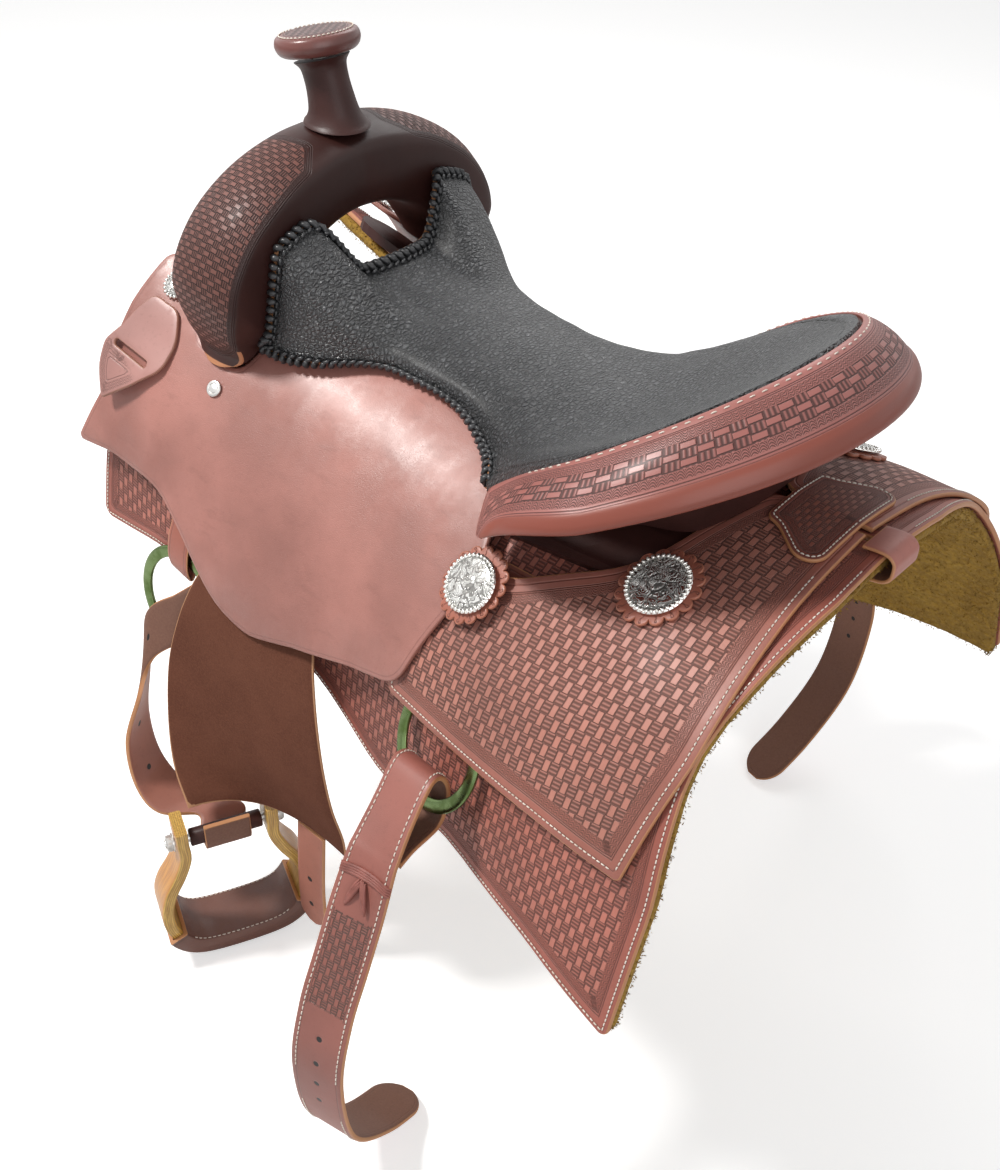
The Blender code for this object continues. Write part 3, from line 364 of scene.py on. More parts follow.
def sheet(upper, under):
    """Points and faces of a sheet from the grids of its two faces, closed along its ends."""
    rings = np.concatenate((upper, under[:, ::-1]), 1)
    points, faces = loft(rings, caps=False)
    rows, count = rings.shape[:2]
    for start in (0, (rows - 1) * count):
        end = start + count - 1
        faces += [[start + k, start + k + 1, end - 1 - k, end - k] for k in range(count // 2 - 1)]
    return points, faces


def tube_shell(outer, inner):
    """Open tube between two skins of rings, joined at both ends."""
    points, faces = joined((loft(outer, caps=False), loft(inner, caps=False)))
    count, shift = outer.shape[1], len(points) // 2
    for a in (0, shift - count):
        loop = [(a + k, a + (k + 1) % count) for k in range(count)]
        faces += [[k, n, n + shift, k + shift] for k, n in loop]
    return points, faces


def tube_faces(rings, sides, copies):
    """Faces of closed tubes, whose points follow ring by ring and tube by tube."""
    size = rings * sides
    one = [
        [r * sides + c, r * sides + (c + 1) % sides, (r + 1) * sides + (c + 1) % sides, (r + 1) * sides + c]
        for r in range(rings - 1)
        for c in range(sides)
    ]
    one += [list(range(sides)), list(range(size - sides, size))]
    return [[k + size * i for k in face] for i in range(copies) for face in one]


def full_turn(count):
    """Evenly spaced angles round a circle."""
    return np.arange(count) * TAU / count


def frame_at(origin, up, ahead):
    """Matrix at origin whose Z is up and whose X points ahead, as a 3x3 array with its origin."""
    up = unit(up)
    ahead = np.asarray(ahead, float)
    ahead = unit(ahead - up * np.dot(ahead, up))
    return np.stack((ahead, np.cross(up, ahead), up), 1), np.asarray(origin, float)


def placed(points, place):
    turn, origin = place
    return np.asarray(points, float) @ turn.T + origin


def place_on_side(x, s, height):
    """Frame that lies on the horse's near side, X to the head."""
    here = drape(x, s, height)
    ahead = drape(x + 20, s, height) - drape(x - 20, s, height)
    down = drape(x, s + 20, height) - drape(x, s - 20, height)
    out = np.cross(ahead, down)
    return frame_at(here, out if out[1] > 0 else -out, ahead)


def spun(profile, steps, wave=None):
    """Points and faces of a profile (radius, height) turned round Z, from axis to axis."""
    a = full_turn(steps)
    rings = []
    for k, (radius, height) in enumerate(profile):
        r = np.full(steps, float(radius)) * (wave(a, k) if wave else 1)
        rings.append(np.stack((r * np.cos(a), r * np.sin(a), np.full(steps, float(height))), -1))
    return loft(rings)


# A leather edge from its upper to its lower face: (share of the rim inset, share of the depth)
EDGE = ((0.5, 0.07), (0.13, 0.25), (0.0, 0.5), (0.13, 0.75), (0.5, 0.93))


def flat_mesh(outline, holes, pitch, rim):
    """Triangles over an outline inset by rim: the loops, flat points, triangles and loop indices."""
    loops = [dense(outline, pitch * 0.8)] + [dense(hole, 1.5)[::-1] for hole in holes]
    inner = [inset(loop, rim) for loop in loops]
    low, high = loops[0].min(0), loops[0].max(0)
    rows = []
    for k, s in enumerate(np.arange(low[1], high[1], pitch * 0.866)):
        xs = np.arange(low[0] + (k % 2) * pitch / 2, high[0], pitch)
        rows.append(np.stack((xs, np.full(len(xs), s)), -1))
    grid = np.concatenate(rows)
    keep = inside(grid, inner[0]) & (to_line(grid, inner[0])[0] > pitch * 0.45)
    for hole in inner[1:]:
        keep &= ~inside(grid, hole) & (to_line(grid, hole)[0] > 1.2)
    edges, start = [], 0
    for loop in inner:
        edges += [(start + k, start + (k + 1) % len(loop)) for k in range(len(loop))]
        start += len(loop)
    given = np.concatenate(inner + [grid[keep]])
    flat, _, faces, sources, _, _ = delaunay_2d_cdt([Vector(p) for p in given], edges, [], 0, 1e-4)
    flat = np.array([tuple(p) for p in flat])
    triangles = np.array([f for f in faces if len(f) == 3])
    centres = flat[triangles].mean(1)
    keep = inside(centres, inner[0])
    for hole in inner[1:]:
        keep &= ~inside(centres, hole)
    at = {old: new for new, olds in enumerate(sources) for old in olds}
    return loops, flat, triangles[keep], at


def leather(name, outline, lower, upper, finish, side=NEAR, replaces=(),
            pitch=5.5, rim=1.5, holes=(), shape=None):
    """Leather cut flat to its outline (x, s) and wrapped over the horse's side.

    The marks are flat, (x, s, distance from the cut edge), and round, the run along that edge.
    """
    loops, flat, triangles, at = flat_mesh(outline, holes, pitch, rim)
    count = len(flat)
    found = [to_line(flat, loop) for loop in loops]
    far = np.min([f for f, _ in found], 0)
    sheets = [(flat, far, found[0][1], 0.0), (flat, far, found[0][1], 1.0)]
    faces = triangles.tolist() + (triangles[:, ::-1] + count).tolist()
    total, start = 2 * count, 0
    for loop in loops:
        n = len(loop)
        around = lengths(np.concatenate((loop, loop[:1])))[:-1]
        strips = [[at[start + k] for k in range(n)]]
        for in_by, down in EDGE:
            sheets.append((inset(loop, in_by * rim), np.full(n, in_by * rim * 0.4), around, down))
            strips.append(list(range(total, total + n)))
            total += n
        strips.append([k + count for k in strips[0]])
        for a, b in zip(strips, strips[1:]):
            faces += [[a[k], a[(k + 1) % n], b[(k + 1) % n], b[k]] for k in range(n)]
        start += n
    points = []
    for place, _, _, down in sheets:
        top, bottom = upper(place[:, 0], place[:, 1]), lower(place[:, 0], place[:, 1])
        points.append(drape(place[:, 0], place[:, 1], top + (bottom - top) * down))
    points = np.concatenate(points)
    flats = np.concatenate([np.column_stack((place, far)) for place, far, _, _ in sheets])
    rounds = np.concatenate([around for _, _, around, _ in sheets])
    if shape:
        points = shape(points, flats)
    marks = {"flat": flats, "round": rounds}
    return add_piece(name, flip_side(points, side), faces, finish, "saddle", replaces, marks)


# Stitches


STITCH_RADIUS, STITCH_LIFT = 0.62, 0.25
# A stitch from end to end: (share of its length, width and rise in radii)
STITCH = ((-0.5, 0.25, -0.45), (-0.38, 0.85, 0.0), (0.0, 1.0, 0.25), (0.38, 0.85, 0.0), (0.5, 0.25, -0.45))


def stitch_row(path, out, pitch=4.1, length=3.1):
    """Points and faces of a row of sewn stitches along a path, standing on its outward side."""
    path, out = np.asarray(path, float), np.asarray(out, float)
    at = lengths(path)
    starts = np.arange(pitch / 2, at[-1] - pitch / 2, pitch)
    if not len(starts):
        return np.zeros((0, 3)), []
    middle = read_along(path, at, starts)
    ahead = unit(read_along(path, at, starts + 1) - middle)
    up = unit(read_along(out, at, starts))
    across = unit(np.cross(up, ahead))
    turns = np.radians((0, 60, 120, 180, 240, 300))
    rings = [
        middle
        + ahead * (along * length)
        + across * (cos(a) * wide * STITCH_RADIUS)
        + up * ((sin(a) * wide + high) * STITCH_RADIUS + STITCH_LIFT)
        for along, wide, high in STITCH
        for a in turns
    ]
    return np.stack(rings, 1).reshape(-1, 3), tube_faces(len(STITCH), len(turns), len(starts))


def stitched(name, rows, side=NEAR, body="saddle", slot="russet_leather", **sizes):
    """One piece of several stitch rows, each given as (path, outward directions)."""
    points, faces = joined([stitch_row(path, out, **sizes) for path, out in rows])
    return add_piece(name, flip_side(points, side), faces, THREAD, body, sharp=80)


def edge_run(outline, by, keep=lambda x, s: True):
    """Runs (x, s) that follow an outline at a distance inside it, where keep allows them."""
    loop = dense(outline, 3.0)
    line = inset(loop, by)
    good = (to_line(line, loop)[0] > by * 0.96) & np.array([keep(x, s) for x, s in loop])
    if good.all():
        return [np.concatenate((line, line[:1]))]
    runs, run = [], []
    first = int(np.argmin(good))
    for k in range(len(line) + 1):
        i = (first + k) % len(line)
        if good[i] and k < len(line):
            run.append(line[i])
        else:
            if len(run) > 3:
                runs.append(np.array(run))
            run = []
    return runs


def on_leather(runs, upper):
    """Stitch rows over a wrapped leather's upper face."""
    return [
        (drape(run[:, 0], run[:, 1], upper(run[:, 0], run[:, 1])), outward(run[:, 0], run[:, 1]))
        for run in runs
    ]


# Finishes


class Value:
    """A shader socket in an expression: each operator adds its Math node."""

    def __init__(self, finish, socket):
        self.finish, self.socket = finish, socket

    def math(self, operation, *others):
        return self.finish.node("Math", {"operation": operation}, (self, *others))

    def __add__(self, other):
        return self.math("ADD", other)

    def __mul__(self, other):
        return self.math("MULTIPLY", other)

    def __sub__(self, other):
        return self.math("SUBTRACT", other)

    def __rsub__(self, other):
        return self.finish.node("Math", {"operation": "SUBTRACT"}, (other, self))

    def __truediv__(self, other):
        return self.math("DIVIDE", other)

    def __pow__(self, other):
        return self.math("POWER", other)

    def __lt__(self, other):
        return self.math("LESS_THAN", other)

    def __gt__(self, other):
        return self.math("GREATER_THAN", other)

    __radd__, __rmul__ = __add__, __mul__

    def abs(self):
        return self.math("ABSOLUTE")

    def floor(self):
        return self.math("FLOOR")

    def part(self):
        """What is left above the next lower whole number."""
        return self.math("FRACT")

    def sin(self):
        return self.math("SINE")

    def least(self, other):
        return self.math("MINIMUM", other)

    def most(self, other):
        return self.math("MAXIMUM", other)

    def run(self, start, end):
        """0 at start, 1 at end, smooth between."""
        settings = {"interpolation_type": "SMOOTHSTEP"}
        return self.finish.node("MapRange", settings, {0: self, 1: start, 2: end, 3: 0.0, 4: 1.0})

    def line(self, at, half):
        """1 where the value is at the given one, fading to 0 half away."""
        return 1 - (self - at).abs().run(0.0, half)

    def xyz(self):
        split = self.finish.node("SeparateXYZ", {}, (self,)).socket.node
        return [Value(self.finish, out) for out in split.outputs]


class Finish:
    """A procedural material built from expressions."""

    def __init__(self, name, roughness=0.5, metallic=0.0, **constants):
        self.material = bpy.data.materials.new(name)
        self.material.use_nodes = True
        self.tree = self.material.node_tree
        self.shader = self.tree.nodes["Principled BSDF"]
        self.set("Roughness", roughness)
        self.set("Metallic", metallic)
        for socket, value in constants.items():
            self.set(socket.replace("_", " "), value)

    def set(self, socket, value):
        self.feed(self.shader.inputs[socket], value)

    def feed(self, socket, value):
        if isinstance(value, Value):
            self.tree.links.new(value.socket, socket)
        elif socket.type == "RGBA" and len(value) == 3:
            socket.default_value = (*value, 1)
        else:
            socket.default_value = value

    def node(self, kind, settings=(), values=(), out=0):
        node = self.tree.nodes.new("ShaderNode" + kind)
        for key, value in dict(settings).items():
            setattr(node, key, value)
        pairs = values.items() if isinstance(values, dict) else enumerate(values)
        for key, value in pairs:
            self.feed(node.inputs[key], value)
        return Value(self, node.outputs[out])

    def mark(self, name, out=1):
        """A mark of the mesh: out 1 is a vector, 2 a number."""
        return self.node("Attribute", {"attribute_name": name}, (), out)

    def place(self):
        return self.node("TexCoord", {}, (), 3)

    def vector(self, x, y, z=0.0):
        return self.node("CombineXYZ", {}, (x, y, z))

    def scaled(self, vector, by):
        return self.node("VectorMath", {"operation": "MULTIPLY"}, (vector, by))

    def noise(self, vector, scale, detail=3.0, rough=0.55):
        values = {"Vector": vector, "Scale": scale, "Detail": detail, "Roughness": rough}
        return self.node("TexNoise", {}, values)

    def cells(self, vector, scale, feature="F1"):
        return self.node("TexVoronoi", {"feature": feature}, {"Vector": vector, "Scale": scale})

    def mix(self, share, a, b):
        return self.node("Mix", {"data_type": "RGBA"}, {0: share, 6: a, 7: b}, 2)

    def bump(self, height, depth, strength=1.0, under=None):
        """Normal of a height from 0 to 1 that stands for a depth in millimetres."""
        values = {"Strength": strength, "Distance": depth * MM, "Height": height}
        if under:
            values["Normal"] = under
        return self.node("Bump", {}, values)


def weave(u, v, wide=7.0, high=9.0):
    """Height and groove shade of a stamped basketweave: plain bars between ribbed crossings."""
    column, line = u / wide, v / high
    a, b = (column.part() * 2 - 1).abs(), line.part()
    odd = ((column.floor() + line.floor()) * 0.5).part() * 2
    bar = a.run(0.78, 0.6) * (b * 2 - 1).abs().run(1.02, 0.84)
    ribs = 0.5 + 0.5 * (b * (3 * TAU)).sin()
    lie = (0.18 + 0.5 * ribs) * a.run(1.05, 0.9)
    height = bar * (1 - odd) + lie * odd
    return height, (1 - height).run(0.1, 0.85)


def nested_arcs(off, along, pitch=5.2, bow=3.2, half=3.3):
    """A row of stamped arcs, one inside the next, in a band round off = 0."""
    wave = ((along / pitch).part() * 2 - 1) ** 2
    arcs = ((off + wave * bow) * (TAU / 2.1)).sin().run(-0.35, 0.5)
    return arcs * off.abs().run(half + 0.4, half - 0.4)


PLAIN = 0.92  # height of unstamped leather, where a bar of the weave is 1


def stamped(field, height, shade, *cuts):
    """Relief and groove shade of a weave inside a field, with cuts as (where, depth, darkness) over it; the
    darkness is painted shade in the hollows.
    """
    relief, groove_shade = PLAIN * (1 - field) + field * height, field * shade
    for where, depth, dark in cuts:
        relief, groove_shade = relief - where * depth, groove_shade.most(where * dark)
    return relief, groove_shade


RUSSET, RUSSET_DARK = (0.50, 0.205, 0.155), (0.105, 0.045, 0.034)
BROWN, BROWN_DARK = (0.055, 0.019, 0.016), (0.016, 0.007, 0.006)
EDGE_TAN = (0.60, 0.28, 0.12)


def leather_colour(f, base, dark, amount=0.25):
    """Base colour with the dye's slow drift and the small flecks of the hide."""
    place = f.place()
    drift = f.noise(place, 9.0, 4.0).run(0.3, 0.72)
    light = tuple(min(1, c * 1.12) for c in base)
    shade = tuple(c * (1 - amount) + d * amount for c, d in zip(base, dark))
    colour = f.mix(drift, shade, light)
    flecks = f.noise(place, 260.0, 2.0).run(0.55, 0.75)
    return f.mix(flecks * 0.12, colour, dark)


def grain(f):
    place = f.place()
    return f.cells(place, 900.0).run(0.1, 0.6) * 0.5 + f.noise(place, 315.0, 3.0) * 0.5


def skin(f, colour, rough, relief, depth, strength, pores=0.1, pore_strength=0.5):
    """Set a leather's colour, roughness and relief, with its pores under the relief."""
    f.set("Base Color", colour)
    f.set("Roughness", rough)
    f.set("Normal", f.bump(relief, depth, strength, f.bump(grain(f), pores, pore_strength)))
    return f.material


def tooled_leather(name, base=RUSSET, dark=RUSSET_DARK, tooling=18.5, stamps=15.3,
                   lines=(10.5, 12.0), stitch=SKIRT_STITCH, wide=7.0, high=9.0):
    """Leather with a basketweave field, a row of stamps, tool lines and a stitched margin.

    tooling, stamps, lines and stitch are their distances from the cut edge.
    """
    f = Finish(name, Coat_Weight=0.08, Coat_Roughness=0.3)
    u, v, far = f.mark("flat").xyz()
    height, shade = weave(u, v, wide, high)
    field = far.run(tooling - 0.6, tooling + 0.6)
    cuts = [(nested_arcs(far - stamps, f.mark("round", 2)), 0.6, 0.8)]
    cuts += [(far.line(at, 0.7), 0.6, 0.85) for at in lines]
    cuts += [(far.line(stitch, 1.1), 0.45, 0.4)]
    relief, groove_shade = stamped(field, height, shade, *cuts)
    border = tuple(c * k for c, k in zip(base, (0.72, 0.6192, 0.6048)))
    colour = f.mix(field * height, leather_colour(f, border, dark), leather_colour(f, base, dark))
    # Painted shade darkens the stamps, tool lines, stitch groove and weave grooves.
    colour = f.mix(groove_shade * 0.88, colour, dark)
    colour = f.mix(far.run(1.5, 0.5) * (0.6 + 0.4 * f.noise(f.place(), 40.0, 2.0)), colour, EDGE_TAN)
    rough = 0.42 + groove_shade * 0.25 + f.noise(f.place(), 55.0, 2.0) * 0.12
    return skin(f, colour, rough, relief, 1.1, 0.9, pores=0.09)


def plain_leather(name, crease_at, base=RUSSET, dark=RUSSET_DARK, edge=EDGE_TAN, gloss=0.36, mottle=0.15,
                  coat=0.12, crease=0.8):
    """Smooth leather with one crease that follows its edge, darkened with painted shade."""
    f = Finish(name, Coat_Weight=coat, Coat_Roughness=0.28)
    far = f.mark("flat").xyz()[2]
    groove_shade = far.line(crease_at, 0.9) * crease
    streak = f.noise(f.scaled(f.place(), (1.0, 3.0, 3.0)), 26.0, 5.0, 0.65).run(0.52, 0.72)
    colour = f.mix(streak * mottle * 0.5, leather_colour(f, base, dark, mottle), dark)
    # Painted shade in the crease.
    colour = f.mix(groove_shade, colour, dark)
    colour = f.mix(far.run(1.5, 0.4) * 0.9, colour, edge)
    rough = gloss + f.noise(f.place(), 38.0, 4.0, 0.65).run(0.35, 0.65) * 0.22
    return skin(f, colour, rough, 1 - groove_shade * 0.6, 0.8, 0.8, pores=0.25, pore_strength=0.7)


def keeper_leather():
    """Smooth leather, tooled with nested arcs along its lower edges only."""
    f = Finish("latigo_keeper_leather", Coat_Weight=0.12, Coat_Roughness=0.28)
    x, s, far = f.mark("flat").xyz()
    low = (s + x * 0.35).run(298.0, 306.0)
    stamp = nested_arcs(far - 5.6, f.mark("round", 2), 4.6, 2.4, 3.0) * low
    line = far.line(10.4, 0.7) * low
    # Painted shade darkens the stamped arcs and the tool line.
    groove_shade = (stamp * 0.45).most(line * 0.6)
    colour = f.mix(groove_shade, leather_colour(f, (0.43, 0.215, 0.19), RUSSET_DARK, 0.2), RUSSET_DARK)
    colour = f.mix(far.run(1.4, 0.4) * 0.8, colour, (0.30, 0.13, 0.08))
    return skin(f, colour, 0.4 + groove_shade * 0.2, 1 - stamp * 0.6 - line * 0.5, 0.8, 0.8)


def rosette_leather(name, lobe):
    """Russet rosette with a ring stamped in each lobe of its edge."""
    f = Finish(name, Coat_Weight=0.1, Coat_Roughness=0.3)
    far = f.mark("flat").xyz()[2]
    beside = ((f.mark("round", 2) / lobe).part() - 0.5) * lobe
    reach = ((far - 4.2) ** 2 + beside * beside) ** 0.5
    ring = reach.line(2.5, 0.6).most(reach.run(1.2, 0.6) * 0.7)
    colour = leather_colour(f, (0.46, 0.15, 0.10), (0.17, 0.06, 0.035))
    # Painted shade darkens each stamped ring and its middle.
    colour = f.mix(ring * 0.8, colour, (0.11, 0.035, 0.022))
    colour = f.mix(far.run(1.2, 0.4) * 0.5, colour, (0.52, 0.21, 0.12))
    return skin(f, colour, 0.42 + ring * 0.2, 1 - ring * 0.7, 0.8, 0.9)


def rough_out():
    """Matt flesh-side leather: nap, worn patches and a pale cut edge."""
    f = Finish("rough_out_leather", roughness=0.9, Specular_IOR_Level=0.1)
    far = f.mark("flat").xyz()[2]
    place = f.place()
    patches = f.noise(place, 14.0, 5.0, 0.62).run(0.32, 0.7)
    nap = f.noise(place, 520.0, 4.0, 0.7)
    colour = f.mix(patches, (0.118, 0.044, 0.028), (0.148, 0.057, 0.036))
    colour = f.mix(nap.run(0.35, 0.7) * 0.35, colour, (0.21, 0.085, 0.05))
    colour = f.mix(far.run(1.7, 0.6), colour, (0.50, 0.27, 0.15))
    f.set("Base Color", colour)
    f.set("Normal", f.bump(nap, 0.5, 0.7, f.bump(patches, 1.2, 0.3)))
    return f.material


def black_seat():
    """Black pebbled hide, with painted shade in the creases between its cells and along the fold by the
    cantle.
    """
    f = Finish("black_pebbled_leather", Coat_Weight=0.3, Coat_Roughness=0.42, Specular_IOR_Level=0.8)
    place = f.place()
    drift = f.node("TexNoise", {}, {"Vector": place, "Scale": 45.0}, 1)
    warp = f.node("VectorMath", {"operation": "ADD"}, (place, f.scaled(drift, (0.006, 0.006, 0.006))))
    pebble = f.cells(f.scaled(warp, (1.25, 0.8, 1.2)), 230.0, "DISTANCE_TO_EDGE").run(0.0, 0.3)
    fine = f.cells(warp, 620.0, "DISTANCE_TO_EDGE").run(0.0, 0.35)
    wrinkle = f.noise(f.scaled(warp, (1.6, 0.4, 0.8)), 130.0, 4.0, 0.6)
    worn = f.noise(place, 10.0, 3.0).run(0.3, 0.7)
    colour = f.mix(worn, (0.060, 0.062, 0.068), (0.095, 0.098, 0.106))
    # Painted shade: the creases between the pebbles go near black.
    colour = f.mix(pebble, (0.020, 0.020, 0.022), colour)
    # Painted shade along the fold that follows the cantle's rim.
    fold = f.mark("to_rim", 2).line(FOLD_AT, 1.3)
    f.set("Base Color", f.mix(fold * 0.85, colour, (0.006, 0.006, 0.007)))
    f.set("Roughness", 0.30 - pebble * 0.06 + wrinkle * 0.14)
    f.set("Normal", f.bump(pebble * 0.8 + fine * 0.15 + wrinkle * 1.1, 4.2, 1.0))
    return f.material


def wool():
    """Golden fleece, with painted shade down in the nap between its tufts."""
    f = Finish("golden_fleece", roughness=0.95)
    place = f.place()
    tuft = f.cells(place, 190.0, "SMOOTH_F1").run(0.05, 0.7)
    curl = f.noise(place, 520.0, 5.0, 0.7)
    drift = f.noise(place, 16.0, 3.0).run(0.3, 0.7)
    colour = f.mix(drift, (0.30, 0.16, 0.016), (0.44, 0.26, 0.04))
    # Painted shade between the tufts.
    colour = f.mix(tuft * 0.5, colour, (0.17, 0.095, 0.02))
    colour = f.mix(curl.run(0.4, 0.75) * 0.35, colour, (0.58, 0.38, 0.10))
    f.set("Base Color", colour)
    f.set("Normal", f.bump(curl * 0.6 - tuft, 1.6, 0.8))
    return f.material


def laminated():
    """Bent laminated wood: yellow layers, dark glue lines and an orange outer face."""
    f = Finish("laminated_wood", Coat_Weight=0.45, Coat_Roughness=0.2)
    across, along, layer = f.mark("grain").xyz()
    fibres = f.noise(f.vector(across * 0.55, along * 0.035, layer * 0.6), 1.0, 5.0, 0.65)
    streak = fibres.run(0.3, 0.72)
    colour = f.mix(streak, (0.46, 0.24, 0.04), (0.78, 0.50, 0.12))
    glue = (layer / 2.05 + 0.5).part().line(0.5, 0.13)
    colour = f.mix(glue * 0.8, colour, (0.10, 0.04, 0.02))
    orange = f.mix(streak, (0.50, 0.19, 0.03), (0.72, 0.34, 0.07))
    f.set("Base Color", f.mix(layer.run(5.2, 5.8), colour, orange))
    f.set("Roughness", 0.33 + streak * 0.15)
    f.set("Normal", f.bump(fibres, 0.25, 0.4))
    return f.material


def metal(name, colour, dull, roughness=0.22, scratches=0.12):
    f = Finish(name, metallic=1.0)
    place = f.place()
    tarnish = f.noise(place, 70.0, 4.0, 0.6).run(0.35, 0.75)
    brush = f.noise(f.scaled(place, (1.0, 6.0, 1.0)), 500.0, 3.0)
    f.set("Base Color", f.mix(tarnish, colour, dull))
    f.set("Roughness", roughness + tarnish * 0.14 + brush * scratches)
    f.set("Normal", f.bump(brush, 0.05, 0.3))
    return f.material


def engraved_silver():
    """Bright silver plate with darkened engraving: scrolls and leaves round a plain rim."""
    f = Finish("engraved_silver", metallic=1.0)
    u, v, radius = f.mark("disc").xyz()
    flat = f.vector(u, v)
    bend = f.node("TexNoise", {}, {"Vector": flat, "Scale": 2.2, "Detail": 1.0}, 1)
    wide, wander = f.scaled(flat, (2.4, 2.4, 0)), f.scaled(bend, (2.6, 2.6, 0))
    curled = f.node("VectorMath", {"operation": "ADD"}, (wide, wander))
    scroll = f.cells(curled, 1.6, "DISTANCE_TO_EDGE").run(0.09, 0.03)
    leaf = (f.cells(curled, 1.6) * 24).sin().run(0.45, 0.95) * 0.6
    inside = radius.run(0.87, 0.83)
    cut = (scroll.most(leaf) * inside).most(radius.line(0.87, 0.025))
    tarnish = f.noise(f.place(), 110.0, 3.0).run(0.4, 0.75)
    colour = f.mix(tarnish * 0.4, (0.92, 0.91, 0.88), (0.70, 0.68, 0.64))
    f.set("Base Color", f.mix(cut * 0.8, colour, (0.06, 0.056, 0.05)))
    f.set("Roughness", 0.16 + cut * 0.3 + tarnish * 0.06)
    f.set("Normal", f.bump(1 - cut, 0.8, 0.9))
    return f.material


def thread(name, colour, shade, roughness=0.7):
    """Twisted thread or lace, mottled darker by soil and by its fine ply."""
    f = Finish(name, roughness=roughness)
    place = f.place()
    soil = f.noise(place, 90.0, 3.0).run(0.35, 0.75)
    ply = f.noise(place, 1400.0, 2.0)
    f.set("Base Color", f.mix(soil * 0.6 + ply * 0.3, colour, shade))
    f.set("Normal", f.bump(ply, 0.2, 0.5))
    return f.material


def strap_leather(name, weave_span=None, stitch=0, hole=None, base=RUSSET):
    """Strap leather: flat holds (across, along, edge distance); hole is (start, pitch, count, radius)."""
    f = Finish(name, Coat_Weight=0.15, Coat_Roughness=0.28)
    across, along, far = f.mark("flat").xyz()
    face = f.mark("face", 2)
    relief, groove_shade = PLAIN, 0.0
    if weave_span:
        start, end = weave_span
        field = far.run(7.0, 8.0) * along.run(start, start + 1) * along.run(end, end - 1) * face
        border = far.line(7.2, 0.8) * along.run(start - 2, start) * along.run(end + 2, end) * face
        relief, groove_shade = stamped(field, *weave(across + 200, along, 5.0, 6.6), (border, 0.6, 0.8))
    if stitch:
        groove = far.line(stitch, 1.0)
        relief, groove_shade = relief - groove * 0.4, (groove * 0.45).most(groove_shade)
    # Painted shade darkens the weave grooves, the frame line and the stitch groove.
    colour = f.mix(groove_shade, leather_colour(f, base, RUSSET_DARK), RUSSET_DARK)
    suede = f.noise(f.place(), 480.0, 4.0, 0.7)
    flesh_side = f.mix(suede, (0.12, 0.05, 0.034), (0.24, 0.115, 0.075))
    colour = f.mix(1 - face, colour, flesh_side)
    colour = f.mix(far.run(1.3, 0.4) * 0.85, colour, EDGE_TAN)
    if hole:
        start, pitch, count, radius = hole
        step = (along - start) / pitch + 0.5
        off = (step.part() - 0.5) * pitch
        reach = (off * off + across * across) ** 0.5
        allowed = (step > 0.0) * (step < count)
        pierced = reach.run(radius + 0.3, radius - 0.3) * allowed
        dent = reach.run(radius + 1.6, radius) * allowed
        # The holes are only painted: near black is painted shade down each hole, with a dent round it.
        colour = f.mix(pierced, colour, (0.004, 0.003, 0.003))
        relief = relief - dent * 0.5
    rough = 0.38 + (1 - face) * 0.4 + f.noise(f.place(), 45.0, 3.0) * 0.15
    return skin(f, colour, rough, relief, 0.9, 0.8, pores=0.12, pore_strength=0.6)


THREAD = thread("waxed_white_thread", (0.90, 0.84, 0.76), (0.66, 0.54, 0.44))
LACE = thread("black_lace", (0.045, 0.046, 0.050), (0.015, 0.015, 0.016), 0.36)
TIE = thread("red_leather_thong", (0.36, 0.12, 0.095), (0.14, 0.045, 0.035), 0.5)
SKIRT_LEATHER = tooled_leather("tooled_skirt_leather", (0.50, 0.17, 0.125), (0.12, 0.042, 0.032))
JOCKEY_LEATHER = tooled_leather(
    "tooled_jockey_leather", tooling=21.0, stamps=17.8, lines=(12.2, 13.7), stitch=JOCKEY_STITCH
)
SMOOTH_LEATHER = plain_leather(
    "smooth_russet_leather", 4.2, (0.42, 0.180, 0.148), (0.20, 0.075, 0.058), (0.34, 0.135, 0.10),
    gloss=0.40, mottle=0.45, coat=0.3, crease=0.4
)
KEEPER_LEATHER = keeper_leather()
CONNECTOR_LEATHER = tooled_leather(
    "connector_leather", (0.34, 0.115, 0.085), tooling=13.0, stamps=9.8, lines=(6.9,),
    stitch=CONNECTOR_STITCH, wide=4.4, high=5.4
)
FENDER_LEATHER = rough_out()
SEAT_LEATHER = black_seat()
WOOL = wool()
STIRRUP_WOOD = laminated()
STEEL = metal("plated_steel", (0.72, 0.71, 0.69), (0.45, 0.44, 0.42), 0.25)
# Steel whose green, in its colour and in its duller tone, is a painted reflection of grass.
RING_METAL_GREEN_REFLECTION = metal("ring_metal_painted_green_reflection", (0.20, 0.28, 0.12), (0.11, 0.17, 0.05), 0.2, 0.05)
SILVER = engraved_silver()


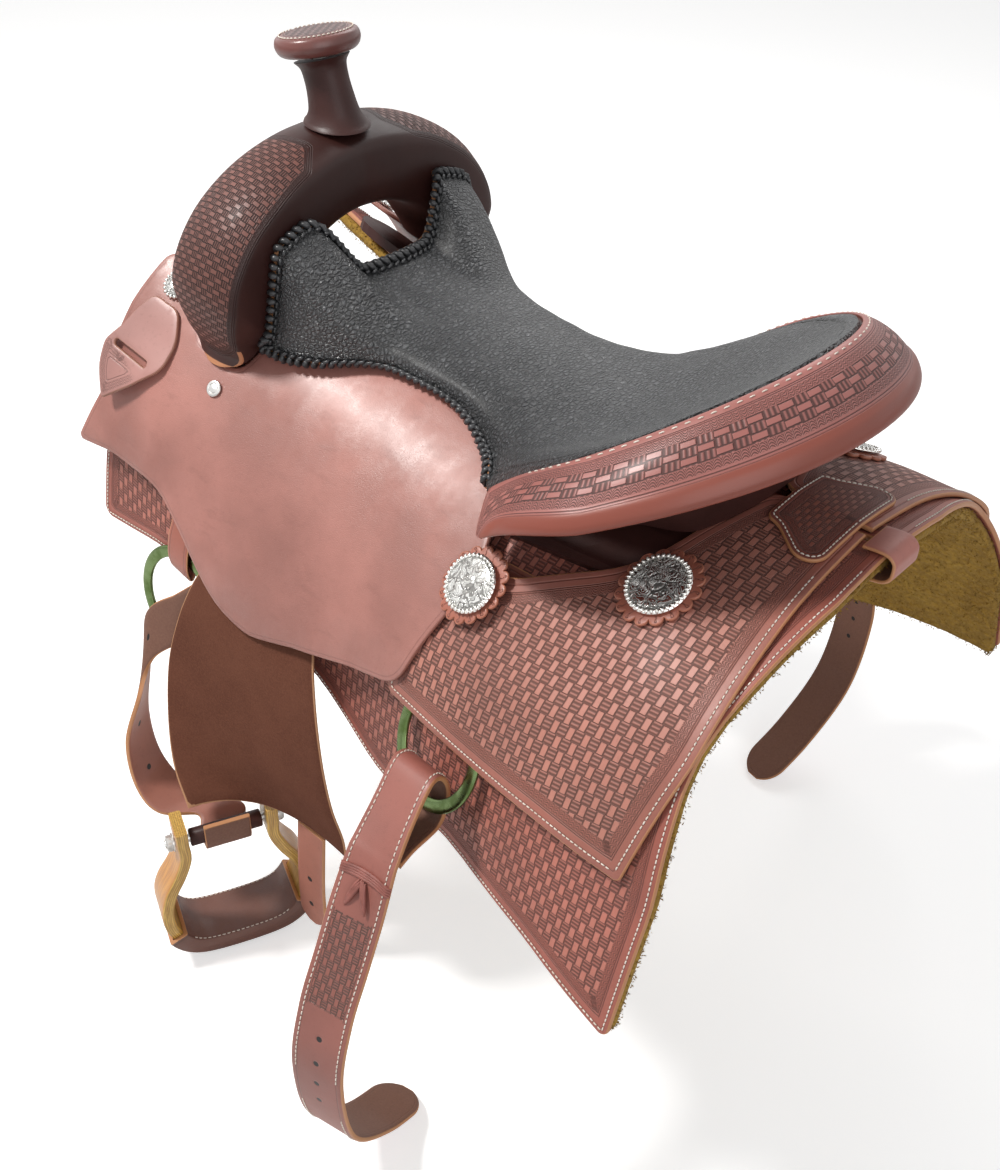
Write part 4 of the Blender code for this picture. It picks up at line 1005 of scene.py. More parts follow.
def roll_leather():
    """Cantle roll: stitched edging, stamps, basketweave, stamps, tool lines and a smooth bead."""
    f = Finish("cantle_roll_leather", Coat_Weight=0.15, Coat_Roughness=0.25)
    along, around, tip = f.mark("flat").xyz()
    below = (46.4 - around).least(tip - 12.0)
    inner = around.least(tip - 6.0)
    field = inner.run(17.6, 18.4) * below.run(9.0, 9.8)
    stamp = nested_arcs(inner - 14.2, along, 5.6) * below.run(3.0, 4.0)
    stamp = stamp.most(nested_arcs(below - 5.6, along, 6.2) * inner.run(11.0, 12.0))
    lines = below.line(0.0, 0.8).most(below.line(-2.2, 0.6) * 0.5)
    lines = lines.most(inner.line(8.6, 0.6).most(inner.line(10.0, 0.6)) * below.run(2.0, 3.0))
    bars = weave(around + 0.4, along + 400, 6.1, 12.4)
    relief, groove_shade = stamped(field, *bars, (stamp, 0.6, 0.8), (lines, 0.6, 0.85))
    bead = below.run(0.0, -4.0)
    plain = f.mix(bead, (0.40, 0.145, 0.125), (0.27, 0.062, 0.038))
    colour = f.mix(f.noise(f.place(), 11.0, 4.0).run(0.3, 0.75) * 0.35, plain, (0.20, 0.055, 0.038))
    # Painted shade darkens the stamps, tool lines and weave grooves.
    colour = f.mix(groove_shade, colour, (0.07, 0.022, 0.018))
    rough = 0.34 + groove_shade * 0.25 + f.noise(f.place(), 45.0, 3.0) * 0.12
    return skin(f, colour, rough, relief, 1.1, 0.9)


def swell_leather():
    """Fork cover: small basketweave panels inside double lines, plain between, tan at the foot."""
    f = Finish("fork_cover_leather", Coat_Weight=0.04, Coat_Roughness=0.25, Specular_IOR_Level=0.35)
    u, v, far = f.mark("flat").xyz()
    field = far.run(0.6, 1.4)
    rim = nested_arcs(far + 1.0, u + v, 4.0, 1.6, 1.4)
    lines = far.line(-4.0, 0.7).most(far.line(-5.8, 0.7))
    relief, groove_shade = stamped(field, *weave(u + 400, v, 5.2, 6.4), (lines, 0.6, 0.85), (rim, 0.5, 0.7))
    panel = leather_colour(f, (0.25, 0.105, 0.085), (0.06, 0.022, 0.017), 0.45)
    plain = leather_colour(f, (0.050, 0.016, 0.013), (0.016, 0.006, 0.005), 0.5)
    colour = f.mix(field, plain, panel)
    # Painted shade darkens the weave grooves, the double lines and the rim stamps.
    colour = f.mix(groove_shade, colour, (0.03, 0.011, 0.009))
    colour = f.mix(f.mark("cut", 2).run(4.6, 3.6), colour, (0.50, 0.22, 0.11))
    rough = 0.36 + groove_shade * 0.25 + f.noise(f.place(), 60.0, 3.0) * 0.12
    return skin(f, colour, rough, relief, 0.9, 0.9)


def cap_leather():
    """Horn cap: a tooled disc sewn to a smooth rim, with a basketweave underneath; painted shade darkens its
    grooves.
    """
    f = Finish("horn_cap_leather", Coat_Weight=0.25, Coat_Roughness=0.25)
    x, y, radius = f.mark("disc").xyz()
    high = f.mark("high", 2)
    height, shade = weave(x + 200, y + 200, 4.4, 5.6)
    above = high.run(5.0, 5.8)
    field = radius.run(26.6, 25.6) * above
    below = radius.run(33.5, 32.0) * high.run(-7.0, -9.0)
    below_height, below_shade = weave(x + 200, y + 200, 5.0, 5.0)
    lines = (radius.line(27.4, 0.7) + radius.line(34.6, 0.8)).least(1.0) * above
    relief = PLAIN * (1 - field - below) + field * height + below * below_height - lines * 0.6
    # Painted shade darkens the weave grooves and tool lines, on top and underneath.
    groove_shade = (field * shade).most(below * below_shade).most(lines * 0.85)
    base = leather_colour(f, (0.155, 0.050, 0.042), (0.04, 0.014, 0.012))
    return skin(f, f.mix(groove_shade, base, (0.018, 0.008, 0.007)), 0.32 + groove_shade * 0.25, relief, 0.8, 0.8)


def bare_leather(name, base, dark, gloss, coat, shine=0.5):
    """Leather with no cut edge in sight."""
    f = Finish(name, Coat_Weight=coat, Coat_Roughness=0.22, Specular_IOR_Level=shine)
    f.set("Base Color", leather_colour(f, base, dark, 0.5))
    f.set("Roughness", gloss + f.noise(f.place(), 45.0, 3.0) * 0.16)
    f.set("Normal", f.bump(grain(f), 0.14, 0.6))
    return f.material


# Dark brown leather; on the cantle back and the tree parts under the roll it is painted shade over leather
# that is russet.
DARK_BROWN_AND_SHADE = bare_leather("dark_brown_leather_and_painted_shade", BROWN, BROWN_DARK, 0.4, 0.03, shine=0.25)
HORN_LEATHER = bare_leather("horn_neck_leather", (0.060, 0.018, 0.015), BROWN_DARK, 0.36, 0.05, shine=0.3)
CUT_EDGE = bare_leather("tan_cut_edge", (0.58, 0.27, 0.12), (0.34, 0.14, 0.06), 0.55, 0.0)
ROLL_LEATHER = roll_leather()
SWELL_LEATHER = swell_leather()
CAP_LEATHER = cap_leather()
SILVER_PLAIN = metal("bright_silver", (0.93, 0.92, 0.89), (0.66, 0.64, 0.6), 0.14)
BILLET_LEATHER = strap_leather(
    "billet_leather", (262, 345), stitch=BILLET_STITCH, hole=(372, 26, 4, 2.6), base=(0.33, 0.115, 0.09)
)
TIE_LEATHER = strap_leather("skirt_tie_leather", base=(0.46, 0.165, 0.13))
RIG_LEATHER = strap_leather("rigging_leather", stitch=4.0, base=(0.36, 0.12, 0.085))
HOLED_LEATHER = strap_leather("stirrup_strap_leather", hole=(90, 50, 5, 2.8), base=(0.42, 0.17, 0.125))
TAIL_LEATHER = strap_leather("strap_tail_leather", hole=(70, 40, 2, 3.2), base=(0.40, 0.15, 0.105))
TREAD_LEATHER = plain_leather("tread_leather", 3.0, (0.15, 0.06, 0.042), (0.05, 0.025, 0.02))


# Outlines, each corner as (x, s, radius)

SKIRT = (
    (-398, 3, 0), (-398, 72, 60), (-381, 215, 200), (-400, 330, 200), (-402, 448, 6),
    (-301, 414, 300), (-190, 389, 200), (-78, 393, 120), (10, 350, 120), (80, 338, 200),
    (236, 362, 200), (316, 388, 8), (314, 320, 100), (300, 165, 60), (292, 96, 20),
    (150, 60, 100), (-40, 26, 200), (-240, 3, 200),
)
REAR_JOCKEY = (
    (-376, 4, 0), (-378, 88, 80), (-384, 225, 150), (-371, 322, 5), (-264, 302, 400),
    (-98, 286, 10), (-98, 178, 20), (-176, 158, 60), (-262, 112, 80), (-298, 4, 20),
)
SEAT_JOCKEY = (
    (331, 311, 4), (287, 294, 60), (209, 276, 90), (169, 294, 90), (115, 333, 70),
    (70, 335, 60), (12, 309, 120), (-55, 289, 100), (-112, 275, 32), (-137, 204, 60),
    (-148, 176, 12), (-120, 100, 40), (-80, 62, 60), (-10, 50, 80), (70, 66, 60),
    (120, 94, 30), (156, 112, 12), (166, 150, 20), (222, 150, 20), (246, 112, 14), (296, 104, 16),
    (304, 165, 60), (306, 248, 16),
)
KEEPER = (
    (292, 166, 16), (282, 146, 12), (250, 143, 14), (236, 164, 30), (236, 190, 24),
    (262, 219, 60), (291, 246, 3), (304, 222, 30), (308, 203, 14), (298, 184, 20),
)
KEEPER_SLOT = ((294, 198), (256, 195))
CONNECTOR = (
    (-370, 0, 0), (-370, 52, 18), (-352, 58, 18), (-324, 38, 30), (-311, 34, 8), (-311, 0, 0),
)


def level(height):
    """A surface at one height over the horse's side."""
    return lambda x, s: np.full(np.shape(x), float(height))


def raised(surface, by):
    return lambda x, s: surface(x, s) + by


def dress_skirts():
    skirt = rounded(SKIRT)
    for side, tag in SIDES:
        leather("skirt_leather_" + tag, skirt, level(-SKIRT_THICK), level(0), SKIRT_LEATHER, side,
                replaces=["skirt_" + tag])
        runs = edge_run(skirt, SKIRT_STITCH, lambda x, s: s > 30 and (x < -290 or s > 250 or x > 280))
        stitched("skirt_stitches_" + tag, on_leather(runs, level(0)), side)
        jockey = rounded(REAR_JOCKEY)
        leather("rear_jockey_leather_" + tag, jockey, under_rear_jockey, over_rear_jockey, JOCKEY_LEATHER,
                side, replaces=["rear_jockey_" + tag])
        runs = edge_run(jockey, JOCKEY_STITCH, lambda x, s: s > 60 and (x < -300 or s > 270))
        stitched("rear_jockey_stitches_" + tag, on_leather(runs, over_rear_jockey), side)
        leather("seat_jockey_leather_" + tag, rounded(SEAT_JOCKEY), under_seat_jockey, over_seat_jockey,
                SMOOTH_LEATHER, side, replaces=["seat_jockey_" + tag])


def dress_connector():
    near = rounded(CONNECTOR)
    whole = np.concatenate((near, (near * (1, -1))[::-1]))
    lower, upper = raised(over_rear_jockey, GAP), raised(over_rear_jockey, GAP + THIN_LEATHER)
    leather("rear_connector_leather", whole, lower, upper, CONNECTOR_LEATHER, replaces=["rear_connector"],
            pitch=4.0)
    runs = edge_run(whole, CONNECTOR_STITCH)
    stitched("connector_stitches", on_leather(runs, upper))


def dress_keeper():
    def height(x, s):
        return over_seat_jockey(x, s) + GAP + 8 * ramp(s, 165, 235)

    a, b = np.array(KEEPER_SLOT, float)
    way, half = unit(b - a), 2.5
    across = np.array((-way[1], way[0]))
    turns = np.radians(np.arange(0, 181, 30))
    slot = [a - way * half * sin(t) + across * half * cos(t) for t in turns]
    slot += [b + way * half * sin(t) - across * half * cos(t) for t in turns]
    leather("latigo_keeper_leather", rounded(KEEPER), height, raised(height, THIN_LEATHER), KEEPER_LEATHER,
            replaces=["latigo_keeper"], pitch=4.0, holes=[np.array(slot)])


# Fleece


TUFT_LENGTH = 1.7
NAP_HEIGHT = -17.0
RIM_TUFTS = 7
# A tuft from root to tip: (share of its length, width, bend)
TUFT = ((0, 1.0, 0), (0.4, 0.9, 0.15), (0.8, 0.55, 0.5), (1.0, 0.12, 0.75))


def wool_tufts(outline, count, seed):
    """Short curled nap over the horse side of a fleece and thick round its edge."""
    rng = np.random.default_rng(seed)
    loop = dense(outline, 4.0)
    spots = rng.uniform(loop.min(0), loop.max(0), (count * 2, 2))
    spots = spots[inside(spots, loop)][:count]
    spread = rng.uniform(-1.6, 1.6, (len(loop) * RIM_TUFTS, 2))
    rim = np.repeat(inset(loop, 2.4), RIM_TUFTS, axis=0) + spread
    rim_height = rng.uniform(-17.5, -6.5, len(rim))
    x, s = np.concatenate((spots, rim)).T
    base = drape(x, s, np.concatenate((np.full(len(spots), NAP_HEIGHT), rim_height)))
    up = outward(x, s)
    rim_way = np.repeat(-unit(inset(loop, 1.0) - loop), RIM_TUFTS, axis=0)
    ahead = drape(*(rim + rim_way).T, rim_height)
    sideways = unit(ahead - drape(*rim.T, rim_height))
    way = np.concatenate((-up[: len(spots)], sideways * 0.9 - up[len(spots):] * 0.25))
    way = unit(way + rng.normal(0, 0.45, way.shape))
    bend = unit(np.cross(way, rng.normal(0, 1, way.shape)))
    cross = np.cross(way, bend)
    size = TUFT_LENGTH * rng.uniform(0.6, 1.15, len(way))[:, None]
    thick = size * 0.3
    rings = []
    for t, w, b in TUFT:
        middle = base + way * size * t + bend * size * b
        for a in np.radians((0, 120, 240)):
            rings.append(middle + (bend * cos(a) + cross * sin(a)) * thick * w)
    return np.stack(rings, 1).reshape(-1, 3), tube_faces(len(TUFT), 3, len(base))


def woolly(points, flats):
    """Lumps in the wool, moving each of its points along the outward direction of the horse's side."""
    out = outward(points[:, 0], flats[:, 1])
    lumps = np.array([noise.noise(Vector(p) * 0.11) for p in points])
    return points - out * (0.6 * lumps[:, None])


def dress_fleece():
    outline = inset(dense(rounded(SKIRT), 6.0), 1.2)
    for side, tag in SIDES:
        top = -SKIRT_THICK - FLEECE_GAP
        pad = leather("fleece_pile_" + tag, outline, level(top - FLEECE_THICK + 1.5), level(top), WOOL, side,
                      replaces=["fleece_" + tag], rim=4.0, shape=woolly)
        points, faces = wool_tufts(rounded(SKIRT), 9000, 5 + side)
        add_piece("fleece_locks_" + tag, flip_side(points, side), faces, WOOL, "saddle", sharp=180)


# Seat

SEAT_FRONT_X, SEAT_TIP_X = 151.0, -118.0
SEAT_MIDDLE_X = -100.0
CANTLE_DEPTH = 198.0
CANTLE_TOP_Z = 182.0
NOTCH_DEPTH = 30
EAR_LIFT = 52
# The seat's edge down the horse's side and the height of its middle line, from fork to cantle
EDGE_V = (0, 0.1, 0.21, 0.3, 0.38, 0.5, 0.65, 0.77, 0.87, 0.95, 1)
EDGE_S = (122, 117, 104, 87, 76, 70, 69, 76, 88, 102, 118)
MIDDLE_V = (0, 0.1, 0.25, 0.45, 0.6, 0.72, 0.82, 0.92, 1)
MIDDLE_Z = (100, 90, 79, 69, 66, 71, 90, 134, CANTLE_TOP_Z)


def seat_point(v, u):
    """Upper face of the seat: v from 0 at the fork to 1 at the cantle, u from -1 off to 1 near."""
    v, u = np.broadcast_arrays(np.asarray(v, float), np.asarray(u, float))
    edge_x = SEAT_FRONT_X + (SEAT_TIP_X - SEAT_FRONT_X) * v
    s = glide(v, EDGE_V, EDGE_S)
    height = over_seat_jockey(edge_x, s) + GAP + SEAT_THICK
    edge = drape(edge_x, s, height + 8 * ramp(v, 0.85, 1.0))
    # From edge to edge: a half turn, notched at the fork and pushed back into the cantle's dish
    across = np.sin(u * pi / 2)
    arch = np.maximum(np.cos(u * pi / 2), 0.0)
    notch = NOTCH_DEPTH * (1 - np.minimum(np.abs(u) / 0.42, 1) ** 2) * (1 - v) ** 4
    setback = 10 * ramp(np.abs(u), 1.0, 0.9) * (1 - v) ** 4
    x = edge[..., 0] - notch - setback - CANTLE_DEPTH * v**1.5 * arch**0.83
    # Up from the edge to the middle line, flatter further back, with an ear each side of the fork
    middle = glide(v, MIDDLE_V, MIDDLE_Z)
    power = 0.6 + 0.25 * ramp(v, 0.0, 0.3) - 0.12 * ramp(v, 0.85, 1.0)
    z = edge[..., 2] + (middle - edge[..., 2]) * arch**power
    ear = ramp(np.abs(across), 0.28, 0.62) * ramp(np.abs(across), 1.0, 0.86)
    z = z + EAR_LIFT * ear * ramp(v, 0.34, 0.0)
    y = edge[..., 1] * across * (1 + 0.2 * ramp(v, 0.6, 1.0) * ramp(arch, 0.0, 0.5))
    return np.stack((x, y, z), -1)


def seat_normal(v, u):
    step = 0.01
    v0, v1 = np.maximum(v - step, 0), np.minimum(v + step, 1)
    u0, u1 = np.maximum(u - step, -1), np.minimum(u + step, 1)
    along = seat_point(v1, u) - seat_point(v0, u)
    across = seat_point(v, u1) - seat_point(v, u0)
    return unit(np.cross(across, along))


def seat_boundary(count):
    """Run of the seat's free edge, from the near cantle tip round the fork to the off tip."""
    near = np.stack((np.linspace(0.985, 0, 200), np.ones(200)), -1)
    front = np.stack((np.zeros(160), np.linspace(1, -1, 160)), -1)
    off = np.stack((np.linspace(0, 0.985, 200), -np.ones(200)), -1)
    way = np.concatenate((near, front[1:], off[1:]))
    points = seat_point(way[:, 0], way[:, 1])
    inner_v = np.clip(way[:, 0] + np.where(way[:, 0] < 0.02, 0.035, 0), 0, 1)
    inner_u = way[:, 1] * np.where(np.abs(way[:, 1]) > 0.97, 0.94, 1)
    inward = unit(seat_point(inner_v, inner_u) - points)
    normal = seat_normal(np.clip(way[:, 0], 0.01, 0.99), np.clip(way[:, 1], -0.985, 0.985))
    at = lengths(points)
    goals = np.linspace(0, at[-1], count)
    inward, normal = (unit(read_along(ways, at, goals)) for ways in (inward, normal))
    return read_along(points, at, goals), inward, normal


def skin_folds(points):
    """Low waves in the seat's hide, in millimetres."""
    heights = []
    for x, y, z in points.reshape(-1, 3):
        soft = noise.noise(Vector((x * 0.014, y * 0.02, z * 0.014)))
        fold = noise.noise(Vector((x * 0.05, y * 0.012, 7.0)))
        heights.append(soft * 1.1 + fold * 0.8)
    return np.reshape(heights, points.shape[:2])


def dress_seat():
    vs = (np.linspace(0, 0.03, 5)[:-1], np.linspace(0.03, 0.86, 84)[:-1], np.linspace(0.86, 1, 72))
    us = np.sin(np.linspace(-pi / 2, pi / 2, 131) * 0.94) / sin(pi / 2 * 0.94)
    v, u = np.meshgrid(np.concatenate(vs), us, indexing="ij")
    top = seat_point(v, u)
    normal = seat_normal(v, u)
    width = np.linalg.norm(np.diff(top, axis=1), axis=2)
    to_off = np.concatenate((np.zeros((len(v), 1)), np.cumsum(width, 1)), 1)
    edge_far = np.minimum(to_off, to_off[:, -1:] - to_off)
    far = np.minimum(edge_far, v * 300.0)
    rows = np.linalg.norm(np.diff(top, axis=0), axis=2)
    to_rim = np.concatenate((np.cumsum(rows[::-1], 0)[::-1], np.zeros((1, len(us)))), 0)
    # The edge rolls down, the padding swells inside it, and a fold follows the cantle
    sink = 3.6 * (1 - np.sqrt(1 - (1 - np.clip(far / 7.0, 0, 1)) ** 2))
    puff = 2.6 * ramp(far, 6.0, 42.0) * ramp(v, 1.0, 0.9)
    puff += ramp(to_rim, 0.0, 6.0) * ramp(to_rim, 22.0, 10.0) * 1.0
    puff -= 1.7 * np.exp(-(((to_rim - FOLD_AT) / 1.5) ** 2)) * ramp(edge_far, 4.0, 20.0)
    upper = top + normal * ((puff - sink) + skin_folds(top) * ramp(far, 8.0, 40.0))[..., None]
    thick = SEAT_THICK * (1 - 0.35 * ramp(v, 0.95, 1.0))
    under = top - normal * (thick - np.minimum(sink, 2.8))[..., None]
    points, faces = sheet(upper, under)
    marks = np.concatenate((to_rim, np.full(to_rim.shape, 99.0)), 1).ravel()
    seat = add_piece("seat_padded_cover", points, faces, SEAT_LEATHER, "saddle",
                     replaces=["seat_cover"], marks={"to_rim": marks}, sharp=80)


def tubes(paths, radii, sides=6):
    """Points and faces of tubes along equal-count paths (n, k, 3), rounded at their ends."""
    paths = np.asarray(paths, float)
    n, k = paths.shape[:2]
    along = unit(np.gradient(paths, axis=1))
    flat_way = unit(np.cross(along, np.array((0.31, 0.17, 0.93))))
    other = np.cross(along, flat_way)
    turn = full_turn(sides)[None, None, :, None]
    radii = np.asarray(radii, float)[None, :, None, None]
    ring = flat_way[:, :, None] * np.cos(turn) + other[:, :, None] * np.sin(turn)
    return (paths[:, :, None] + ring * radii).reshape(-1, 3), tube_faces(k, sides, n)


# Each turn of the lace, and each link of the chain outside it: (inward, up, along the edge)
LACE_TURNS = 140
WHIP = (
    (6.2, 0.2, 2.2), (4.6, 2.3, 1.4), (1.8, 3.2, 0.2), (-1.2, 1.6, -1.0), (-2.4, -1.8, -1.8),
    (-1.4, -5.4, -2.6),
)
LINK = ((8.4, 0.6, -2.4), (8.2, 1.9, -0.8), (6.8, 2.3, 1.4), (6.3, 0.8, 3.2))
CUT_EDGE_SECTION = ((3.0, -3.4), (-3.4, -2.2), (-5.4, -2.6), (-5.7, -4.2), (-4.8, -6.0), (3.0, -7.0))


def dress_lacing():
    """Black lace whipped over the seat's free edge, and the tan cut edge that it holds."""
    edge, inward, normal = seat_boundary(2 * LACE_TURNS)
    turns = slice(1, len(edge) - 1, 2)
    e, i, n, t = (ways[turns] for ways in (edge, inward, normal, unit(np.gradient(edge, axis=0))))
    whip, links = (np.stack([e + i * a + n * b + t * c for a, b, c in shape], 1) for shape in (WHIP, LINK))
    whip = tubes(whip, (1.0, 2.3, 2.9, 2.9, 2.5, 1.2), 8)
    links = tubes(links, (0.9, 1.7, 1.7, 0.9))
    points, faces = joined([whip, links])
    add_piece("seat_edge_lace", points, faces, LACE, "saddle", sharp=80)
    beside_fork = ramp(edge[:, 0], 128, 146)[:, None]
    rings = []
    for a, b in CUT_EDGE_SECTION:
        wider = beside_fork * (2.4 if a < -4 else 0)
        rings.append(edge + inward * (a - wider) + normal * b)
    points, faces = loft(np.stack(rings, 1))
    add_piece("seat_cut_edge", points, faces, CUT_EDGE, "saddle", sharp=80)


# Cantle

ROLL_SECTION = (
    (0.05, 0.0), (0.3, 0.22), (0.6, 0.27), (0.8, 0.15), (0.86, 0.08), (0.95, 0.1), (1.04, -0.2),
    (1.04, -0.6), (0.93, -0.9), (0.65, -1.0), (0.36, -0.95), (0.22, -0.75),
)
ROLL_WIDTH, ROLL_DROP, ROLL_THICK = 45, 32, 15
ROLL_END_ANGLE = 74.0
ROLL_STITCH_AT = 5.6


def rim(angles):
    """Inner edge of the cantle roll and the level direction out of the seat there."""
    u = np.asarray(angles, float) / 90
    here = seat_point(1.0, u)
    ahead = seat_point(1.0, np.minimum(u + 0.01, 1)) - seat_point(1.0, np.maximum(u - 0.01, -1))
    out = unit(np.stack((-ahead[..., 1], ahead[..., 0], ahead[..., 0] * 0), -1))
    wrong = np.sum(out * (here - np.array((SEAT_MIDDLE_X, 0, 0))), -1) < 0
    out = np.where(wrong[..., None], -out, out)
    out[..., 0] -= 0.35 * ramp(np.abs(angles), 60, 90)
    return here, unit(out)


def roll_rings(angles, section):
    """Rings of the roll at angles round the cantle, smaller towards its two tips."""
    here, out = rim(angles)
    turn = np.cos(np.radians(angles))
    past = np.maximum(np.abs(angles) - ROLL_END_ANGLE, 0) / (90 - ROLL_END_ANGLE)
    end = np.sqrt(1 - np.minimum(past, 0.96) ** 2)
    wide = (ROLL_WIDTH + 5 * turn) * (0.25 + 0.75 * end)
    drop = ROLL_DROP * (0.7 + 0.3 * turn)
    thick = ROLL_THICK * (0.6 + 0.4 * end)
    rings = []
    for across, lift in section:
        fall = drop * max(across, 0.0) ** 1.3
        up = lift * thick - fall + 1
        rings.append(here + out * (wide * across + 1)[:, None] + up[:, None] * np.array((0, 0, 1)))
    return np.stack(rings, 1)


def dress_cantle():
    tips = np.linspace(72, 89, 34)
    angles = np.concatenate((-tips[::-1], np.linspace(-72, 72, 121)[1:-1], tips))
    section = run_through(ROLL_SECTION, 60, closed=True)
    first = int(np.argmin(np.linalg.norm(section - np.array(ROLL_SECTION[0]), axis=1)))
    section = np.roll(section, -first, axis=0)
    rings = roll_rings(angles, section)
    along = lengths(rings[:, 12])
    tip = np.minimum(along, along[-1] - along) + 8.0
    around = np.stack([lengths(ring) for ring in rings])
    along, tip = (np.repeat(values[:, None], len(section), 1) for values in (along, tip))
    marks = np.stack((along, around, tip), -1).reshape(-1, 3)
    points, faces = loft(rings)
    add_piece("cantle_roll_leather", points, faces, ROLL_LEATHER, "saddle",
              replaces=["cantle_roll"], marks={"flat": marks}, sharp=60)
    sewn = roll_rings(np.linspace(-78, 78, 300), section[:16])
    at = int(np.argmin(np.abs(lengths(sewn[150]) - ROLL_STITCH_AT)))
    path = sewn[:, at]
    out = unit(np.cross(np.gradient(path, axis=0), sewn[:, at + 1] - sewn[:, at - 1]))
    out = np.where(out[:, 2:] < 0, -out, out)
    stitched("cantle_roll_stitches", [(path, out)], pitch=9.2, length=4.4)
    dress_cantle_back()


def dress_cantle_back():
    """Leather from under the roll's rear to the rear jockeys, a little hollow between."""
    angles = np.linspace(-56, 56, 80)
    here, out = rim(angles)
    high = here + out * 14 + np.array((0, 0, -29))
    low = here - out * (15 + 22 * ramp(np.abs(angles), 30, 50))[:, None]
    feet = []
    for x, y, _ in low:
        s = np.interp(abs(y), drape(x, SIDE_S, over_rear_jockey(x, SIDE_S) + 1.4)[:, 1], SIDE_S)
        feet.append(drape(x, s * np.sign(y), over_rear_jockey(x, s) + 1.4))
    t = np.linspace(0, 1, 14)[None, :, None]
    face = high[:, None] * (1 - t) + np.array(feet)[:, None] * t - out[:, None] * (8 * t * (1 - t))
    points, faces = sheet(face, face - out[:, None] * 4)
    # Its dark brown is painted shade: the leather under the roll is russet in shadow.
    add_piece("cantle_back_leather", points, faces, DARK_BROWN_AND_SHADE, "saddle",
              replaces=["cantle_back"])


# Fork and horn

SWELL_OUTER = (
    (0, 196), (44, 193), (90, 180), (130, 156), (156, 124), (165, 92), (159, 58), (148, 32), (152, 20),
)
SWELL_INNER = (
    (0, 128), (30, 125), (62, 112), (88, 88), (105, 64), (114, 48), (121, 40), (127, 33), (132, 28),
)
SWELL_AT = (0, 90, 166)
SWELL_REAR, SWELL_FRONT = (152, 147, 145), (232, 234, 236)
SWELL_SECTION = (
    (0.0, 0.55), (0.13, 0.85), (0.35, 1.0), (0.65, 1.0), (0.87, 0.82), (1.0, 0.4),
    (1.0, -0.5), (0.85, -1.0), (0.15, -1.0), (0.0, -0.55),
)
HORN_BASE = np.array((183.0, 0.0, 192.0))
HORN_CAP = np.array((205.0, 0.0, 264.0))


def both_sides(half):
    half = np.array(half, float)
    return np.concatenate((half[:0:-1] * (-1, 1), half))


# A basketweave panel of the fork cover: (along its arc, round its section, corner radius)
SWELL_PANEL = (
    (46, 30, 3), (66, 12, 6), (110, 9, 60), (205, 9, 30), (258, 8, 16), (273, 22, 14), (273, 46, 14),
    (256, 70, 20), (200, 108, 30), (60, 114, 6),
)
SWELL_STEPS, SWELL_SIDES = 129, 64


def swell_rings(by=0.0):
    """Rings over the fork from foot to foot, a distance inside the leather, with its outer line."""
    stations = np.arange(-8, 9)
    outer_given, inner_given = both_sides(SWELL_OUTER), both_sides(SWELL_INNER)
    outer = run_through(outer_given, SWELL_STEPS)
    k = run_through(np.column_stack((outer_given, stations)), SWELL_STEPS)[:, 2]
    inner = np.stack([glide(k, stations, inner_given[:, c]) for c in (0, 1)], -1)
    out = unit(outer - inner)
    outer, inner = outer - out * by, inner + out * by
    across_y = np.abs(outer[:, 0])
    foot = np.clip((np.abs(k) - 6) / 2, 0, 1)
    narrow = 9 * np.clip(np.abs(k) - 5, 0, 1) + 26 * (1 - np.sqrt(1 - (foot * 0.98) ** 2))
    rear = np.interp(across_y, SWELL_AT, SWELL_REAR) + by + narrow
    front = np.interp(across_y, SWELL_AT, SWELL_FRONT) - by - narrow
    section = run_through(SWELL_SECTION, SWELL_SIDES, closed=True)
    middle, half = (outer + inner) / 2, (outer - inner) / 2
    yz = middle[:, None] + half[:, None] * section[None, :, 1:2]
    x = rear[:, None] + (front - rear)[:, None] * section[None, :, 0]
    return np.concatenate((x[..., None], yz), -1), outer, foot


def dress_swell():
    turns_under = 36  # of the section's points, where the rear face ends
    rings, outer, foot = swell_rings()
    arc = lengths(outer)
    arc -= arc[-1] / 2
    runs = np.stack([lengths(ring) for ring in rings])
    flat = np.stack((np.repeat(arc[:, None], SWELL_SIDES, 1), runs), -1).reshape(-1, 2)
    panels = [rounded([(sign * a, r, c) for a, r, c in SWELL_PANEL]) for sign in (1, -1)]
    far = np.max([within(flat, panel) for panel in panels], 0)
    points, faces = tube_shell(rings, swell_rings(4.0)[0])
    ends = np.minimum(arc - arc[0], arc[-1] - arc)
    sides = np.minimum(runs, np.abs(runs - runs[:, turns_under, None]))
    sides += 60 * ramp(foot, 0.2, 0.02)[:, None]
    marks = {
        "flat": np.concatenate((np.column_stack((flat, far)), np.column_stack((flat, far * 0 - 50)))),
        "cut": np.concatenate((np.minimum(ends[:, None], sides).ravel(), np.zeros(len(flat)))),
    }
    add_piece("swell_leather", points, faces, SWELL_LEATHER, "saddle",
              replaces=["swell_cover"], marks=marks, sharp=60)


# Profiles as (radius, height); the neck's heights run up the horn and the cap's round its own middle
NECK_PROFILE = ((27.2, 6), (26.6, 7.2), (24, 10), (20.5, 18), (18.5, 32), (18, 44), (19, 54), (23, 60))
NECK_INSIDE = ((9.4, 6), (9, 60))
CAP_UNDER = ((14.0, -10.5), (22.0, -11))
CAP_RIM = ((26, -11), (31, -10.6), (34.6, -8), (36.6, -3.5), (36.6, 0.5), (35.0, 4.4), (31.4, 6.2))
CAP_DISC = ((30.6, 6.0), (30.0, 6.5), (24, 7.2), (16, 7.5), (8, 7.5), (1.0, 7.5))
CAP_STITCHES = (31.6, 6.3)
CAP_TILT = radians(12.0)


